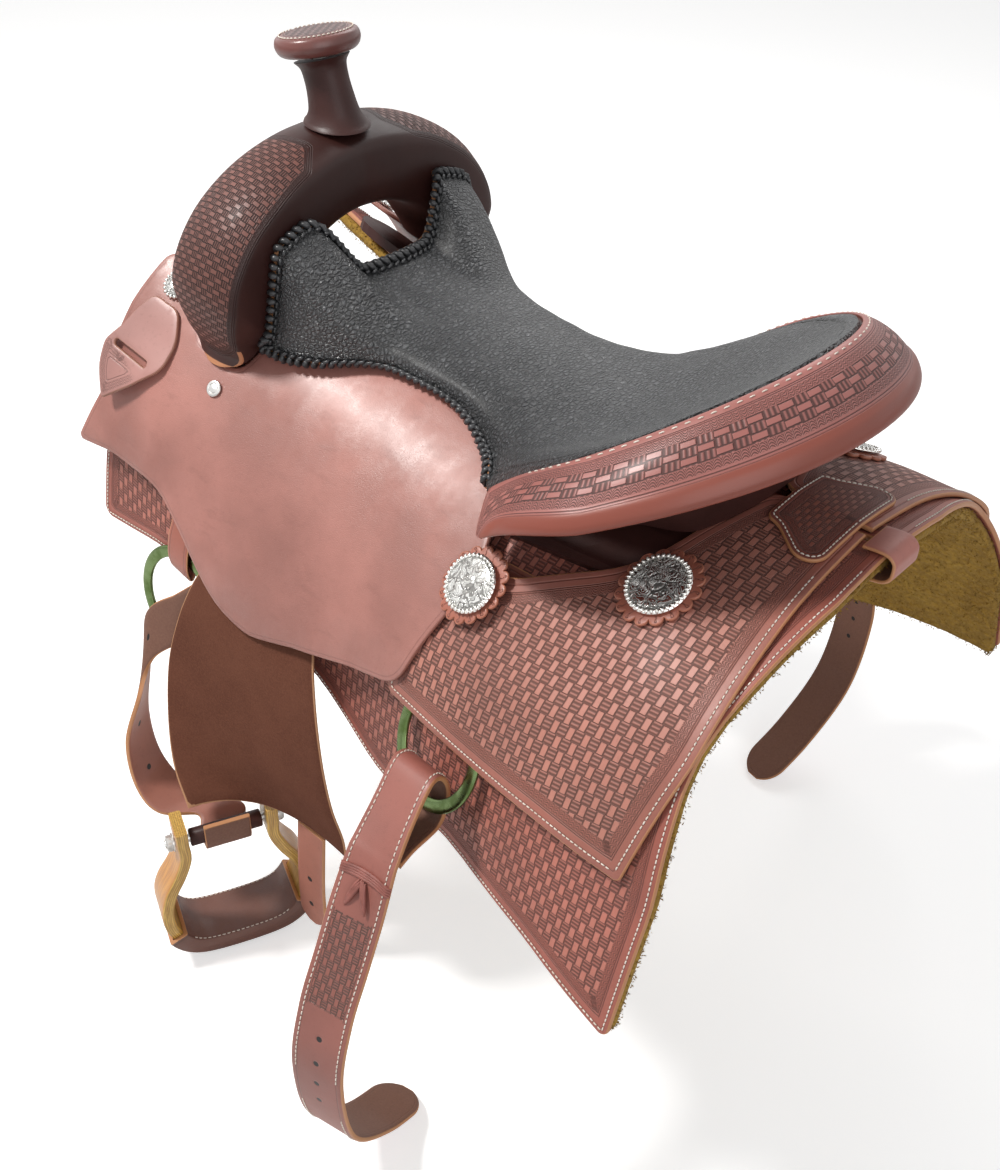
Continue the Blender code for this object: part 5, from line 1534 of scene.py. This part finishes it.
def dress_horn():
    up = unit(HORN_CAP - HORN_BASE)
    neck = np.concatenate((NECK_INSIDE[:1], run_through(NECK_PROFILE, 40), NECK_INSIDE[1:]))
    rings = []
    a = full_turn(72)
    for radius, z in neck:
        lean = np.array((0, 0, 1.0)) * (1 - ramp(z, 6, 40)) + up * ramp(z, 6, 40)
        stretch = 1.15 if radius > 10 else 1.0
        ring = np.stack((radius * stretch * np.cos(a), radius * np.sin(a), 0 * a), -1)
        rings.append(placed(ring, frame_at(HORN_BASE + up * z, lean, (1, 0, 0))))
    points, faces = loft(rings, closed=True)
    add_piece("horn_neck_leather", points, faces, HORN_LEATHER, "saddle",
              replaces=["horn_neck"], sharp=60)
    top = np.array((sin(CAP_TILT), 0, cos(CAP_TILT)))
    place = frame_at(HORN_CAP, top, (1, 0, 0))
    points, faces = spun(np.concatenate((CAP_UNDER, run_through(CAP_RIM, 30), CAP_DISC)), 96)
    radius = np.hypot(points[:, 0], points[:, 1])
    marks = {"disc": np.column_stack((points[:, :2], radius)), "high": points[:, 2]}
    add_piece("horn_cap_leather", placed(points, place), faces, CAP_LEATHER, "saddle",
              replaces=["horn_cap"], marks=marks, sharp=60)
    radius, height = CAP_STITCHES
    ring = np.stack((radius * np.cos(a), radius * np.sin(a), np.full(len(a), height)), -1)
    path = placed(np.concatenate((ring, ring[:1])), place)
    stitched("horn_cap_stitches", [(path, np.repeat(top[None], len(path), 0))], slot="dark_leather",
             pitch=4.1, length=2.9)


# Conchos, rosettes and screws

ROSETTE_LOBES = 16
FRONT_CONCHO = (268, 128, 13)
FERRULE_AT = (180, 172)
# (share of the radius, height) from the rim to the middle
CONCHO_PROFILE = (
    (0.96, 0), (1.0, 0.6), (1.0, 1.3), (0.955, 2.3), (0.90, 2.2), (0.86, 2.6), (0.74, 3.4), (0.5, 4.2),
    (0.32, 4.45), (0.28, 4.2), (0.24, 4.7), (0.12, 5.0), (0.02, 5.05),
)
# (radius, height) of the small dome of a pearl, from its inner to its outer side
PEARL = ((-1.6, 2.1), (-1.1, 2.6), (-0.3, 2.9), (0.5, 2.7), (1.3, 2.0), (1.7, 1.3))
PEARL_RADII = (0.5, 1.1, 1.45, 1.45, 1.1, 0.5)
FERRULE_PROFILE = (
    (6.8, 0), (7.5, 0.5), (7.5, 1.2), (6.8, 2.1), (5.0, 2.3), (4.5, 1.7), (4.0, 2.0), (0.4, 2.6),
)


def concho(name, place, radius, side, nodes):
    points, faces = spun([(r * radius, h) for r, h in run_through(CONCHO_PROFILE, 40)], 72)
    share = points[:, :2] / radius
    marks = {"disc": np.column_stack((share, np.hypot(*share.T)))}
    add_piece(name, flip_side(placed(points, place), side), faces, SILVER, "saddle",
              replaces=nodes, marks=marks, sharp=60)
    a = full_turn(max(20, round(radius * 1.5)))
    paths = [
        np.stack(((radius * 0.93 + r) * np.cos(a), (radius * 0.93 + r) * np.sin(a), np.full(len(a), h)), -1)
        for r, h in PEARL
    ]
    points, faces = tubes(np.stack(paths, 1), PEARL_RADII, 8)
    add_piece(name + "_pearl_rim", flip_side(placed(points, place), side), faces, SILVER_PLAIN, "saddle",
              sharp=80)


def scalloped(x, s, radius, scallops):
    a = full_turn(scallops * 14)
    r = radius * (0.86 + 0.15 * np.sqrt(np.abs(np.sin(a * scallops / 2))))
    return np.column_stack((x + r * np.cos(a), s + r * np.sin(a)))


def place_over(surface, x, s, lift):
    return place_on_side(x, s, float(surface(np.float64(x), np.float64(s))) + lift)


def dress_conchos():
    for name, x, s, upper, size, radius, lift in (
        ("rear", -286, 122, over_rear_jockey, 32, 25.5, 4.6),
        ("cantle", -148, 177, over_seat_jockey, 30, 24, 6.4),
    ):
        outline = scalloped(x, s, size, ROSETTE_LOBES)
        around = lengths(np.concatenate((outline, outline[:1])))[-1]
        finish = rosette_leather(name + "_rosette_leather", around / ROSETTE_LOBES)
        for side, tag in SIDES:
            leather(name + "_rosette_leather_" + tag, outline, raised(upper, GAP),
                    raised(upper, GAP + ROSETTE_THICK), finish, side,
                    replaces=[name + "_rosette_" + tag], pitch=2.6, rim=1.1)
            concho(name + "_concho_silver_" + tag, place_over(upper, x, s, lift), radius, side,
                   [name + "_concho_" + tag])
    x, s, radius = FRONT_CONCHO
    place = place_over(over_seat_jockey, x, s, 0.8)
    points, faces = spun(run_through(FERRULE_PROFILE, 26), 40)
    points = placed(points, place_over(over_seat_jockey, *FERRULE_AT, 0.8))
    for side, tag in SIDES:
        concho("front_concho_silver_" + tag, place, radius, side, ["front_concho_" + tag])
        add_piece("ferrule_" + tag, flip_side(points, side), faces, STEEL, "saddle",
                  replaces=["ferrule_screw_" + tag], sharp=40)


# Rings and rigging

RING_RADIUS, RING_BAND, RING_THICK = 54.0, 12.0, 5.0
FRONT_RING = (188.0, 386.0, 10.5, 4.0)
REAR_RING = (-166.0, 306.0, 10.7, 9.0)


def ring_place(ring):
    x, s, height, tilt = ring
    turn, origin = place_on_side(x, s, height)
    a = radians(tilt)
    lean = np.array(((1, 0, 0), (0, cos(a), -sin(a)), (0, sin(a), cos(a))))
    return turn @ lean, origin


def dress_rings():
    a, b = np.meshgrid(full_turn(96), full_turn(20), indexing="ij")
    across, high = (np.sign(way) * np.abs(way) ** 0.75 for way in (np.cos(b), np.sin(b)))
    r = RING_RADIUS + (across - 1) * RING_BAND / 2
    rings = np.stack((r * np.cos(a), r * np.sin(a), high * RING_THICK / 2), -1)
    for name, ring in (("front", FRONT_RING), ("rear", REAR_RING)):
        points, faces = loft(placed(rings, ring_place(ring)), closed=True)
        for side, tag in SIDES:
            body = name + "_ring_" + tag
            add_piece(name + "_ring_metal_" + tag, flip_side(points, side), faces, RING_METAL_GREEN_REFLECTION, body,
                      replaces=[body], sharp=80)


STRAP_RIM = 1.3


def strap_mesh(path, wide, width, thick):
    """Rounded strap along a path: points, faces and its flat marks (across, along, edge distance).

    width is a number or one value per path point; wide is the width direction at each.
    """
    path, wide = np.asarray(path, float), unit(wide)
    at = lengths(path)
    face = unit(np.cross(wide, unit(np.gradient(path, axis=0))))
    half = np.broadcast_to(np.asarray(width, float), at.shape) / 2
    # The section as (sign, share of the flat, share of the rim, height, upper face) round the strap
    flat = np.linspace(-1, 1, 13)[1:-1]
    corner = [(sin(radians(d)), cos(radians(d))) for d in (15, 40, 65, 90)]
    section = [(1, f, 0, 1, 1.0) for f in flat]
    section += [(1, 1, out, high, 1.0) for out, high in corner]
    section += [(1, 1, out, -high, 0.0) for out, high in corner[-2::-1]]
    section += [(1, f, 0, -1, 0.0) for f in flat[::-1]]
    section += [(-1, 1, out, -high, 0.0) for out, high in corner]
    section += [(-1, 1, out, high, 1.0) for out, high in corner[-2::-1]]
    ends = np.minimum(at, at[-1] - at) + 0.2
    rings, marks, upper = [], [], []
    for sign, share, out, high, top in section:
        across = sign * ((half - STRAP_RIM) * share + STRAP_RIM * out)
        rings.append(path + wide * across[:, None] + face * (high * thick / 2))
        marks.append(np.column_stack((across, at, np.minimum(half - np.abs(across), ends))))
        upper.append(np.full(len(at), top))
    points, faces = loft(np.stack(rings, 1))
    return points, faces, {"flat": np.stack(marks, 1).reshape(-1, 3), "face": np.stack(upper, 1).ravel()}


def strap_piece(name, mesh, finish, side, body, replaces):
    points, faces, marks = mesh
    add_piece(name, flip_side(points, side), faces, finish, body, replaces, marks, sharp=60)


def rig_mesh(x, rows, reach):
    """Strap over the horse's side through rows (s, height), from x + reach(t)[0] to x + reach(t)[1]."""
    count = 90
    path = run_through([(0, s, h) for s, h in rows], count)
    along = np.gradient(path, axis=0)
    face = unit(np.stack((0 * along[:, 0], -along[:, 2], along[:, 1]), -1)) * RIG_THICK / 2
    start, end = np.array([reach(t) for t in np.linspace(0, 1, count)]).T
    at = lengths(path)
    ends = np.minimum(at, at[-1] - at)
    steps = np.linspace(0, 1, 15)
    rings, marks = [], []
    for sign, q in [(1, q) for q in steps] + [(-1, q) for q in steps[::-1]]:
        xs = x + start + (end - start) * q
        p = path + face * sign * (0.35 + 0.65 * min(1.0, min(q, 1 - q) * 14))
        rings.append(drape(xs, p[:, 1], p[:, 2]))
        far = np.minimum(min(q, 1 - q) * (end - start), ends)
        marks.append(np.column_stack((xs - x, at, far)))
    points, faces = loft(np.stack(rings, 1))
    flat = np.stack(marks, 1).reshape(-1, 3)
    return points, faces, {"flat": flat, "face": np.ones(len(flat))}


def dress_rigging():
    """Straps from under the seat that hold the rings, each folded round its ring."""
    reach = RING_RADIUS - RING_BAND
    top = FRONT_RING[1] - reach
    rows = (
        (160, 2.0), (240, 2.0), (top - 22, 2.0), (top, 2.2), (top + 13, 7.8), (top, 13.4),
        (top - 22, 13.2), (top - 44, 7.5),
    )
    front = rig_mesh(
        FRONT_RING[0], rows, lambda t: (-14 - 6 * ramp(t, 0.5, 0.2), 14 + 50 * ramp(t, 0.56, 0.4))
    )
    top = REAR_RING[1] - reach
    rows = (
        (150, 1.9), (200, 1.9), (top - 18, 1.7), (top, 1.6), (top + 14, 7.0), (top, 13.2),
        (top - 18, 13.0), (top - 42, 7.5),
    )
    rear = rig_mesh(REAR_RING[0], rows, lambda t: (-17, 12))
    for side, tag in SIDES:
        for name, mesh in (("front_rigging_", front), ("rear_rigging_", rear)):
            strap_piece(name + "leather_" + tag, mesh, RIG_LEATHER, side, "saddle", replaces=[name + tag])


BILLET_PATH = (
    (61, -2), (42, -5), (24, -9.5), (11, -12.5), (3, -13), (-4, -9.5), (-8.6, -1), (-12, 8),
    (-12, 20), (-6, 34), (4, 44), (16, 45), (38, 28), (64, 6), (76, -8), (115, -73),
    (142, -119), (158, -181), (146, -273), (97, -337), (35, -380),
)


TIE_AT = 225
# The tie's strands: heights of the band over the billet, and (reach, height) of the loose leaves
TIE_BAND = ((-25.5, -2.6), (-23, 0), (-12, 0), (-5, 0), (5, 0), (12, 0), (23, 0), (25.5, -2.6))
TIE_LEAF = ((0, 0.2), (4, 1.4), (9, 1.6), (14, 1.3), (19, 0.8), (22, 0))


def billet_tie(base, wide, along, up):
    """Points and faces of the thong round a billet: a band of four strands and two loose leaves."""
    rise = STRAP_THICK / 2 + 0.9
    band = [
        [base + along * (row + 3 * (k / 23) ** 2) + wide * k + up * (rise + h) for k, h in TIE_BAND]
        for row in (-3, -1, 1, 3)
    ]
    leaves = []
    for lean in (-1, 1):
        for row in (-2, 0, 2):
            leaves.append([
                base
                + along * (5 + k * 1.1 + row * 0.4)
                - wide * (lean * (k * 0.42 + 1) + row * (1 - k / 26))
                + up * (rise + h)
                for k, h in TIE_LEAF
            ])
    return joined([
        tubes(band, (0.8, 1.3, 1.5, 1.6, 1.6, 1.5, 1.3, 0.8), 8),
        tubes(leaves, (0.8, 1.5, 1.9, 1.9, 1.5, 0.7), 8),
    ])


def dress_billets():
    wide = unit(np.array((0.98, 0.21, 0)))
    out = np.array((-wide[1], wide[0], 0))
    turn, origin = ring_place(REAR_RING)
    band = origin + turn[:, 1] * (RING_RADIUS - RING_BAND / 2)
    flat = run_through(BILLET_PATH, 240)
    path = band + out * flat[:, :1] + np.array((0, 0, 1.0)) * flat[:, 1:]
    at = lengths(path)
    # Across the strap: along the ring where it holds it, and along the horse further off
    free = ramp(np.linalg.norm(path - band, axis=1), 25, 110)[:, None]
    ways = unit(turn[:, 0] * (1 - free) + wide * free)
    along = unit(np.gradient(path, axis=0))
    up = unit(np.cross(ways, along))
    width = 50.0 * np.sqrt(1 - (1 - np.clip((at[-1] - at) / 30, 0.02, 1)) ** 2 * 0.96)
    mesh = strap_mesh(path, ways, width, STRAP_THICK)
    knot = int(np.argmin(np.abs(at - TIE_AT)))
    tie, tie_faces = billet_tie(path[knot], ways[knot], along[knot], up[knot])
    sewn = []
    for edge in (-1, 1):
        line = path + ways * edge * (width / 2 - BILLET_STITCH)[:, None] + up * STRAP_THICK / 2
        sewn += [(line[first:last], up[first:last]) for first, last in ((10, 150), (168, 228))]
    for side, tag in SIDES:
        body = "flank_billet_" + tag
        strap_piece("flank_billet_leather_" + tag, mesh, BILLET_LEATHER, side, body, replaces=[body])
        stitched("flank_billet_stitches_" + tag, sewn, side, body, pitch=5.0, length=3.6)
        add_piece("flank_billet_thong_" + tag, flip_side(tie, side), tie_faces, TIE, body,
                  sharp=80)


# Section of the loop that ties the skirts, as (x, height) round their joined edge
SKIRT_TIE = (
    (-381, 2.5), (-392, 2.8), (-401, 1.4), (-406.4, -4), (-407, -11), (-406, -18), (-401, -22.6),
    (-392, -24), (-381, -24),
)


def dress_skirt_tie():
    """Soft leather loop round the joined edge of the skirts."""
    x, height = run_through(SKIRT_TIE, 70).T
    path = drape(x, np.zeros(len(x)), height)
    mesh = strap_mesh(path, np.repeat([[0, 1.0, 0]], len(x), 0), 34.0, 3.0)
    strap_piece("skirt_tie_leather", mesh, TIE_LEATHER, NEAR, "saddle", replaces=["skirt_tie"])


# Fenders and stirrups

# Rows of the fender: over the side as (s, height, rear x, front x), then free (front, fold, rear)
FENDER_TOP = ((160, 9, 76, 146), (195, 9, 74, 148), (228, 11, 62, 146), (254, 14, 30, 144))
FENDER_ROWS = (
    ((143, 218, -134), (70, 216, -140), (4, 214, -146)),
    ((156, 231, -168), (74, 229, -173), (-10, 228, -178)),
    ((167, 243, -206), (78, 240, -213), (-22, 238, -220)),
    ((175, 256, -258), (84, 249, -264), (-31, 242, -272)),
    ((166, 272, -314), (86, 254, -316), (-38, 241, -318)),
    ((142, 288, -354), (76, 250, -357), (-44, 236, -356)),
    ((108, 299, -380), (62, 242, -389), (-42, 232, -388)),
)
BOLT_CENTRE = np.array((92.0, 272.0, -418.0))
TURN = radians(66.0)
ACROSS = np.array((cos(TURN), sin(TURN), 0))
AHEAD = np.array((sin(TURN), -cos(TURN), 0))
STIRRUP_DEPTH = 50.0
BOW_THICK = 12.0
BOW_PATH = ((45, 24), (45, 6), (45, -14), (53, -36), (66, -60), (72, -84), (69, -108), (54, -130), (28, -139))
BOLT_RADIUS, ROLLER_RADIUS = 4.0, 9.0
LEATHER_WIDTH = 46.0
TAIL_WIDTH = 38.0
TREAD_TOP = -111
# The stirrup leather as (place, width direction), then (ahead, up) round the roller, then its tail
LEATHER_RUN = (
    ((112, 213, -150), (-1, 0, 0)), ((136, 223, -178), (-0.9, 0.0, -0.4)),
    ((165, 231, -208), (-0.74, -0.04, -0.62)), ((203, 253, -244), (-0.42, 0.28, -0.85)),
    ((200, 272, -292), (-0.55, 0.75, -0.35)), ((202, 286, -345), (-0.45, 0.88, -0.1)),
    ((184, 292, -390), (-0.3, 0.93, 0)), ((150, 286, -414), (0.1, 0.99, 0)),
)
ROUND_ROLLER = ((26, 1), (12, -6), (7, -12), (-1, -13.5), (-9, -10), (-13.5, -2), (-14, 8), (-14, 24))
STRAP_TAIL = ((13, 226, -396), (13, 229, -430), (14, 231, -470), (15, 231, -505), (16, 231, -536))


def dress_fenders():
    steps_down, steps_across = 70, 45
    t = np.linspace(0, 1, steps_across)
    rows = [drape(front + (rear - front) * t, s, h) for s, h, rear, front in FENDER_TOP]
    for row in FENDER_ROWS:
        front, fold, rear = (np.array(p, float) for p in row)
        w = t[:, None]
        rows.append(front * (1 - w) * (1 - 2 * w) + fold * 4 * w * (1 - w) + rear * w * (2 * w - 1))
    rows = np.array(rows)
    face = np.stack([run_through(rows[:, k], steps_down) for k in range(steps_across)], 1)
    normal = unit(np.cross(np.gradient(face, axis=0), np.gradient(face, axis=1)))
    normal = np.where((normal @ np.array((0, 1, 0.3)))[..., None] < 0, -normal, normal)
    width = np.linalg.norm(np.diff(face, axis=1), axis=2)
    to_front = np.concatenate((np.zeros((steps_down, 1)), np.cumsum(width, 1)), 1)
    from_sides = np.minimum(to_front, to_front[:, -1:] - to_front)
    down = np.linalg.norm(np.diff(face, axis=0), axis=2)
    run = np.concatenate((np.zeros((1, steps_across)), np.cumsum(down, 0)), 0)
    far = np.minimum(from_sides, run[-1:] - run)
    pinch = 1.6 * (1 - np.clip(far / 1.6, 0, 1)) ** 2
    top = face - normal * pinch[..., None]
    back = face - normal * (FENDER_THICK - pinch)[..., None]
    rings = np.concatenate((top, back[:, ::-1]), 1)
    points, faces = loft(rings)
    marks = np.stack((to_front, run, far), -1)
    marks = np.concatenate((marks, marks[:, ::-1]), 1).reshape(-1, 3)
    for side, tag in SIDES:
        add_piece("fender_leather_" + tag, flip_side(points, side), faces, FENDER_LEATHER, "fender_" + tag,
                  replaces=["fender_" + tag], marks={"flat": marks}, sharp=60)


def at_stirrup(u, f, z):
    return BOLT_CENTRE + ACROSS * u + AHEAD * f + np.array((0, 0, 1.0)) * z


def dress_stirrup_leathers():
    roll = ROLLER_RADIUS + 2.2 + STRAP_THICK / 2
    points = [p for p, _ in LEATHER_RUN]
    points += [at_stirrup(0, ahead * roll / 13.5, up * roll / 13.5) for ahead, up in ROUND_ROLLER]
    wide = [w for _, w in LEATHER_RUN] + [ACROSS] * len(ROUND_ROLLER)
    whole = run_through(np.concatenate((points, wide), 1), 220)
    main = strap_mesh(whole[:, :3], whole[:, 3:], LEATHER_WIDTH, STRAP_THICK)
    tail = run_through(STRAP_TAIL, 90)
    at = lengths(tail)
    width = TAIL_WIDTH * np.sqrt(1 - (1 - np.clip((at[-1] - at) / 19, 0.03, 1)) ** 2 * 0.95)
    end = strap_mesh(tail, np.repeat([[1.0, 0, 0]], len(tail), 0), width, STRAP_THICK)
    for side, tag in SIDES:
        body = "fender_" + tag
        strap_piece("stirrup_leather_strap_" + tag, main, HOLED_LEATHER, side, body,
                    replaces=["stirrup_leather_" + tag])
        strap_piece("stirrup_strap_tail_" + tag, end, TAIL_LEATHER, side, body,
                    replaces=["stirrup_strap_end_" + tag])


def bow_depth(z):
    return 34 + (STIRRUP_DEPTH - 34) * ramp(z, -20, -120)


def bow_line():
    near = np.array(BOW_PATH, float)
    return run_through(np.concatenate((near, near[::-1] * (-1, 1))), 121)


def bow_sleeve(line, grow, section):
    """Rings round the bow's line; section is (depth share, thickness share) pairs, grow its allowance."""
    run = unit(np.gradient(line, axis=0))
    way = np.stack((-run[:, 1], run[:, 0]), -1)
    rings = []
    for f, w in section:
        reach = f * bow_depth(line[:, 1]) + np.sign(f) * grow
        u, z = (line + way * (w * (BOW_THICK / 2 + grow))).T
        rings.append(at_stirrup(u[:, None], reach[:, None], z[:, None]))
    return np.stack(rings, 1)


def stirrup_bow():
    """Points, faces and grain marks (across, along, layer) of the bent wood."""
    corners = ((-0.5, -0.72), (-0.47, -0.94), (-0.41, -1), (0.41, -1), (0.47, -0.94), (0.5, -0.72))
    mids = tuple((-0.41 + 0.82 * k / 8, -1) for k in range(1, 8))
    side = tuple((0.5, -0.72 + 1.44 * k / 8) for k in range(1, 8))
    half = corners[:3] + mids + corners[3:] + side
    section = half + tuple((-f, -w) for f, w in half)
    line = bow_line()
    at = lengths(line)
    marks = [
        np.column_stack((f * bow_depth(line[:, 1]), at, np.full(len(at), w * BOW_THICK / 2)))
        for f, w in section
    ]
    return *loft(bow_sleeve(line, 0.0, section)), {"grain": np.stack(marks, 1).reshape(-1, 3)}


def stirrup_tread():
    """Points, faces and marks of the leather sleeve round the bow's foot, and its two stitched rows."""
    corner = ((0.5, 0.86), (0.485, 0.97), (0.45, 1))
    section = [(a * f, b * w) for a in (1, -1) for b in (1, -1) for f, w in corner]
    section.sort(key=lambda p: atan2(p[1], p[0] * 2))
    line = bow_line()
    line = line[line[:, 1] < TREAD_TOP]
    outer, inner = bow_sleeve(line, 4.2, section), bow_sleeve(line, 0.5, section)
    middle = outer[len(outer) // 2]
    around = lengths(np.concatenate((middle, middle[:1])))[:-1]
    at = lengths(line)
    at, around = np.meshgrid(at, around, indexing="ij")
    flat = np.stack((around, at, np.minimum(at, at[-1] - at)), -1).reshape(-1, 3)
    marks = {"flat": np.concatenate((flat, flat * (1, 1, 0)))}
    upper = [k for k, (_, w) in enumerate(section) if w < -0.99]
    ends = slice(4, -4)
    rows = [(outer[ends, k], unit(outer[ends, k] - outer.mean(1)[ends])) for k in (upper[0], upper[-1])]
    return *tube_shell(outer, inner), marks, rows


# The bolt as (radius, distance from the middle), with its washer, nut and rounded head
BOLT_HEAD_AT = 52.0
BOLT_HEAD = ((0.5, -7.2), (4, -7), (7, -6), (8.2, -4), (8.2, 0), (BOLT_RADIUS, 0))
BOLT_WASHER = ((BOLT_RADIUS, 0), (9.5, 0), (9.5, 1.4), (7.6, 1.6))
BOLT_NUT = ((7.8, 1.8), (7.8, 6.2), (6.6, 7.2), (4.2, 7.4), (4.0, 8.6), (0.5, 8.8))
ROLLER_PROFILE = ((4.3, -36), (8.2, -36), (9, -35), (9, 35), (8.2, 36), (4.3, 36))


def stirrup_bolt():
    profile = [(r, z - BOLT_HEAD_AT) for r, z in BOLT_HEAD]
    profile += [(r, z + BOLT_HEAD_AT) for r, z in BOLT_WASHER + BOLT_NUT]
    nut_start = len(BOLT_HEAD + BOLT_WASHER)

    def six_sided(a, k):
        if nut_start <= k <= nut_start + 2:
            return cos(pi / 6) / np.cos((a + pi / 6) % (pi / 3) - pi / 6) * 1.08
        return 1

    return spun(profile, 48, six_sided)


def dress_stirrups():
    across = frame_at(BOLT_CENTRE, ACROSS, AHEAD)
    bow, bow_faces, bow_marks = stirrup_bow()
    tread, tread_faces, tread_marks, tread_rows = stirrup_tread()
    bolt, bolt_faces = stirrup_bolt()
    roller, roller_faces = spun(ROLLER_PROFILE, 40)
    bolt, roller = placed(bolt, across), placed(roller, across)
    for side, tag in SIDES:
        body = "stirrup_" + tag
        add_piece("stirrup_bow_wood_" + tag, flip_side(bow, side), bow_faces, STIRRUP_WOOD, body,
                  replaces=["stirrup_bow_" + tag], marks=bow_marks, sharp=50)
        add_piece("stirrup_tread_leather_" + tag, flip_side(tread, side), tread_faces, TREAD_LEATHER, body,
                  replaces=["stirrup_tread_" + tag], marks=tread_marks, sharp=50)
        add_piece("stirrup_bolt_steel_" + tag, flip_side(bolt, side), bolt_faces, STEEL, body,
                  replaces=["stirrup_bolt_" + tag], sharp=35)
        add_piece("stirrup_roller_" + tag, flip_side(roller, side), roller_faces, DARK_BROWN_AND_SHADE, body,
                  sharp=50)
        stitched("tread_stitches_" + tag, tread_rows, side, body, pitch=5.0, length=3.4)


def keep_hidden_parts():
    """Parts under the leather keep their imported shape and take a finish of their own."""
    for name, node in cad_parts.items():
        base = name[:-2] if name[-2:] in ("_L", "_R") else name
        # Their dark brown is painted shade where they show between the roll and the rear jockeys.
        if base in ("tree_bar", "fork", "cantle_board", "ground_seat"):
            finish = DARK_BROWN_AND_SHADE
        elif base == "horn_core":
            finish = STEEL
        else:
            continue
        node.data.materials.clear()
        node.data.materials.append(finish)


# Setting


FLOOR_Z, FLOOR_REACH = -0.5745, 9.0
CAMERA_LENS, SENSOR_WIDTH = 42.96, 36.0
CAMERA_AT = (-0.71737, 0.77435, 0.65767)
CAMERA_RIGHT = (-0.72970, -0.68334, 0.02414)
CAMERA_UP = (0.44801, -0.45114, 0.77185)
CAMERA_BACK = (-0.51654, 0.57404, 0.63534)
WORLD_ON_OBJECT = 0.3
# Area lamps as (name, place, aim, size, watts, colour), in metres
LAMPS = (
    ("key", (1.15, 1.15, 2.1), (0, 0, -0.1), 0.42, 62, (1.0, 0.98, 0.95)),
    ("rim", (0.8, -1.6, 1.6), (0, 0, 0), 1.2, 12, (1, 1, 1)),
    ("fill", (-2.0, 1.2, 0.9), (0, 0, -0.2), 1.8, 14, (0.96, 0.98, 1.0)),
)


def in_scene(name, data):
    obj = bpy.data.objects.new(name, data)
    bpy.context.scene.collection.objects.link(obj)
    return obj


def set_stage():
    """Pale floor, which glows a little for the camera alone."""
    mesh = bpy.data.meshes.new("studio_floor")
    corners = [(x * FLOOR_REACH, y * FLOOR_REACH, FLOOR_Z) for x, y in ((-1, -1), (1, -1), (1, 1), (-1, 1))]
    mesh.from_pydata(corners, [], [(0, 1, 2, 3)])
    f = Finish("pale_floor", roughness=0.9)
    camera_ray = f.node("LightPath", {}, (), 0)
    f.set("Base Color", (0.90, 0.90, 0.90))
    f.set("Emission Color", f.mix(camera_ray, (0, 0, 0), (0.5, 0.5, 0.5)))
    f.set("Emission Strength", 1.0)
    mesh.materials.append(f.material)
    floor_obj = in_scene("studio_floor", mesh)


def set_world():
    """White for the eye and for mirrors and glass, and dim for the light that it gives."""
    world = bpy.data.worlds.new("studio")
    world.use_nodes = True
    bpy.context.scene.world = world
    tree = world.node_tree
    background = tree.nodes["Background"]
    background.inputs["Color"].default_value = (1, 1, 1, 1)
    rays = tree.nodes.new("ShaderNodeLightPath")
    seen = rays.outputs["Is Camera Ray"]
    for name in ("Is Glossy Ray", "Is Transmission Ray"):
        more = tree.nodes.new("ShaderNodeMath")
        more.operation = "MAXIMUM"
        tree.links.new(seen, more.inputs[0])
        tree.links.new(rays.outputs[name], more.inputs[1])
        seen = more.outputs[0]
    strength = tree.nodes.new("ShaderNodeMapRange")
    strength.inputs[3].default_value, strength.inputs[4].default_value = WORLD_ON_OBJECT, 1.0
    tree.links.new(seen, strength.inputs[0])
    tree.links.new(strength.outputs[0], background.inputs["Strength"])


def set_camera_and_light():
    scene = bpy.context.scene
    scene.view_settings.view_transform = "Standard"
    scene.camera = in_scene("camera", bpy.data.cameras.new("camera"))
    scene.camera.data.lens, scene.camera.data.sensor_width = CAMERA_LENS, SENSOR_WIDTH
    matrix = Matrix((CAMERA_RIGHT, CAMERA_UP, CAMERA_BACK)).transposed().to_4x4()
    matrix.translation = Vector(CAMERA_AT)
    scene.camera.matrix_world = matrix
    set_world()
    for name, place, aim, size, watts, colour in LAMPS:
        light = bpy.data.lights.new(name, "AREA")
        light.size, light.energy, light.color = size, watts, colour
        lamp = in_scene(name, light)
        lamp.location = place
        lamp.rotation_euler = (Vector(aim) - Vector(place)).to_track_quat("-Z", "Y").to_euler()


def main():
    keep_hidden_parts()
    dress_skirts()
    dress_fleece()
    dress_connector()
    dress_keeper()
    dress_skirt_tie()
    dress_seat()
    dress_lacing()
    dress_cantle()
    dress_swell()
    dress_horn()
    dress_conchos()
    dress_rings()
    dress_rigging()
    dress_billets()
    dress_fenders()
    dress_stirrup_leathers()
    dress_stirrups()
    set_stage()
    set_camera_and_light()
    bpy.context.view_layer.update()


main()
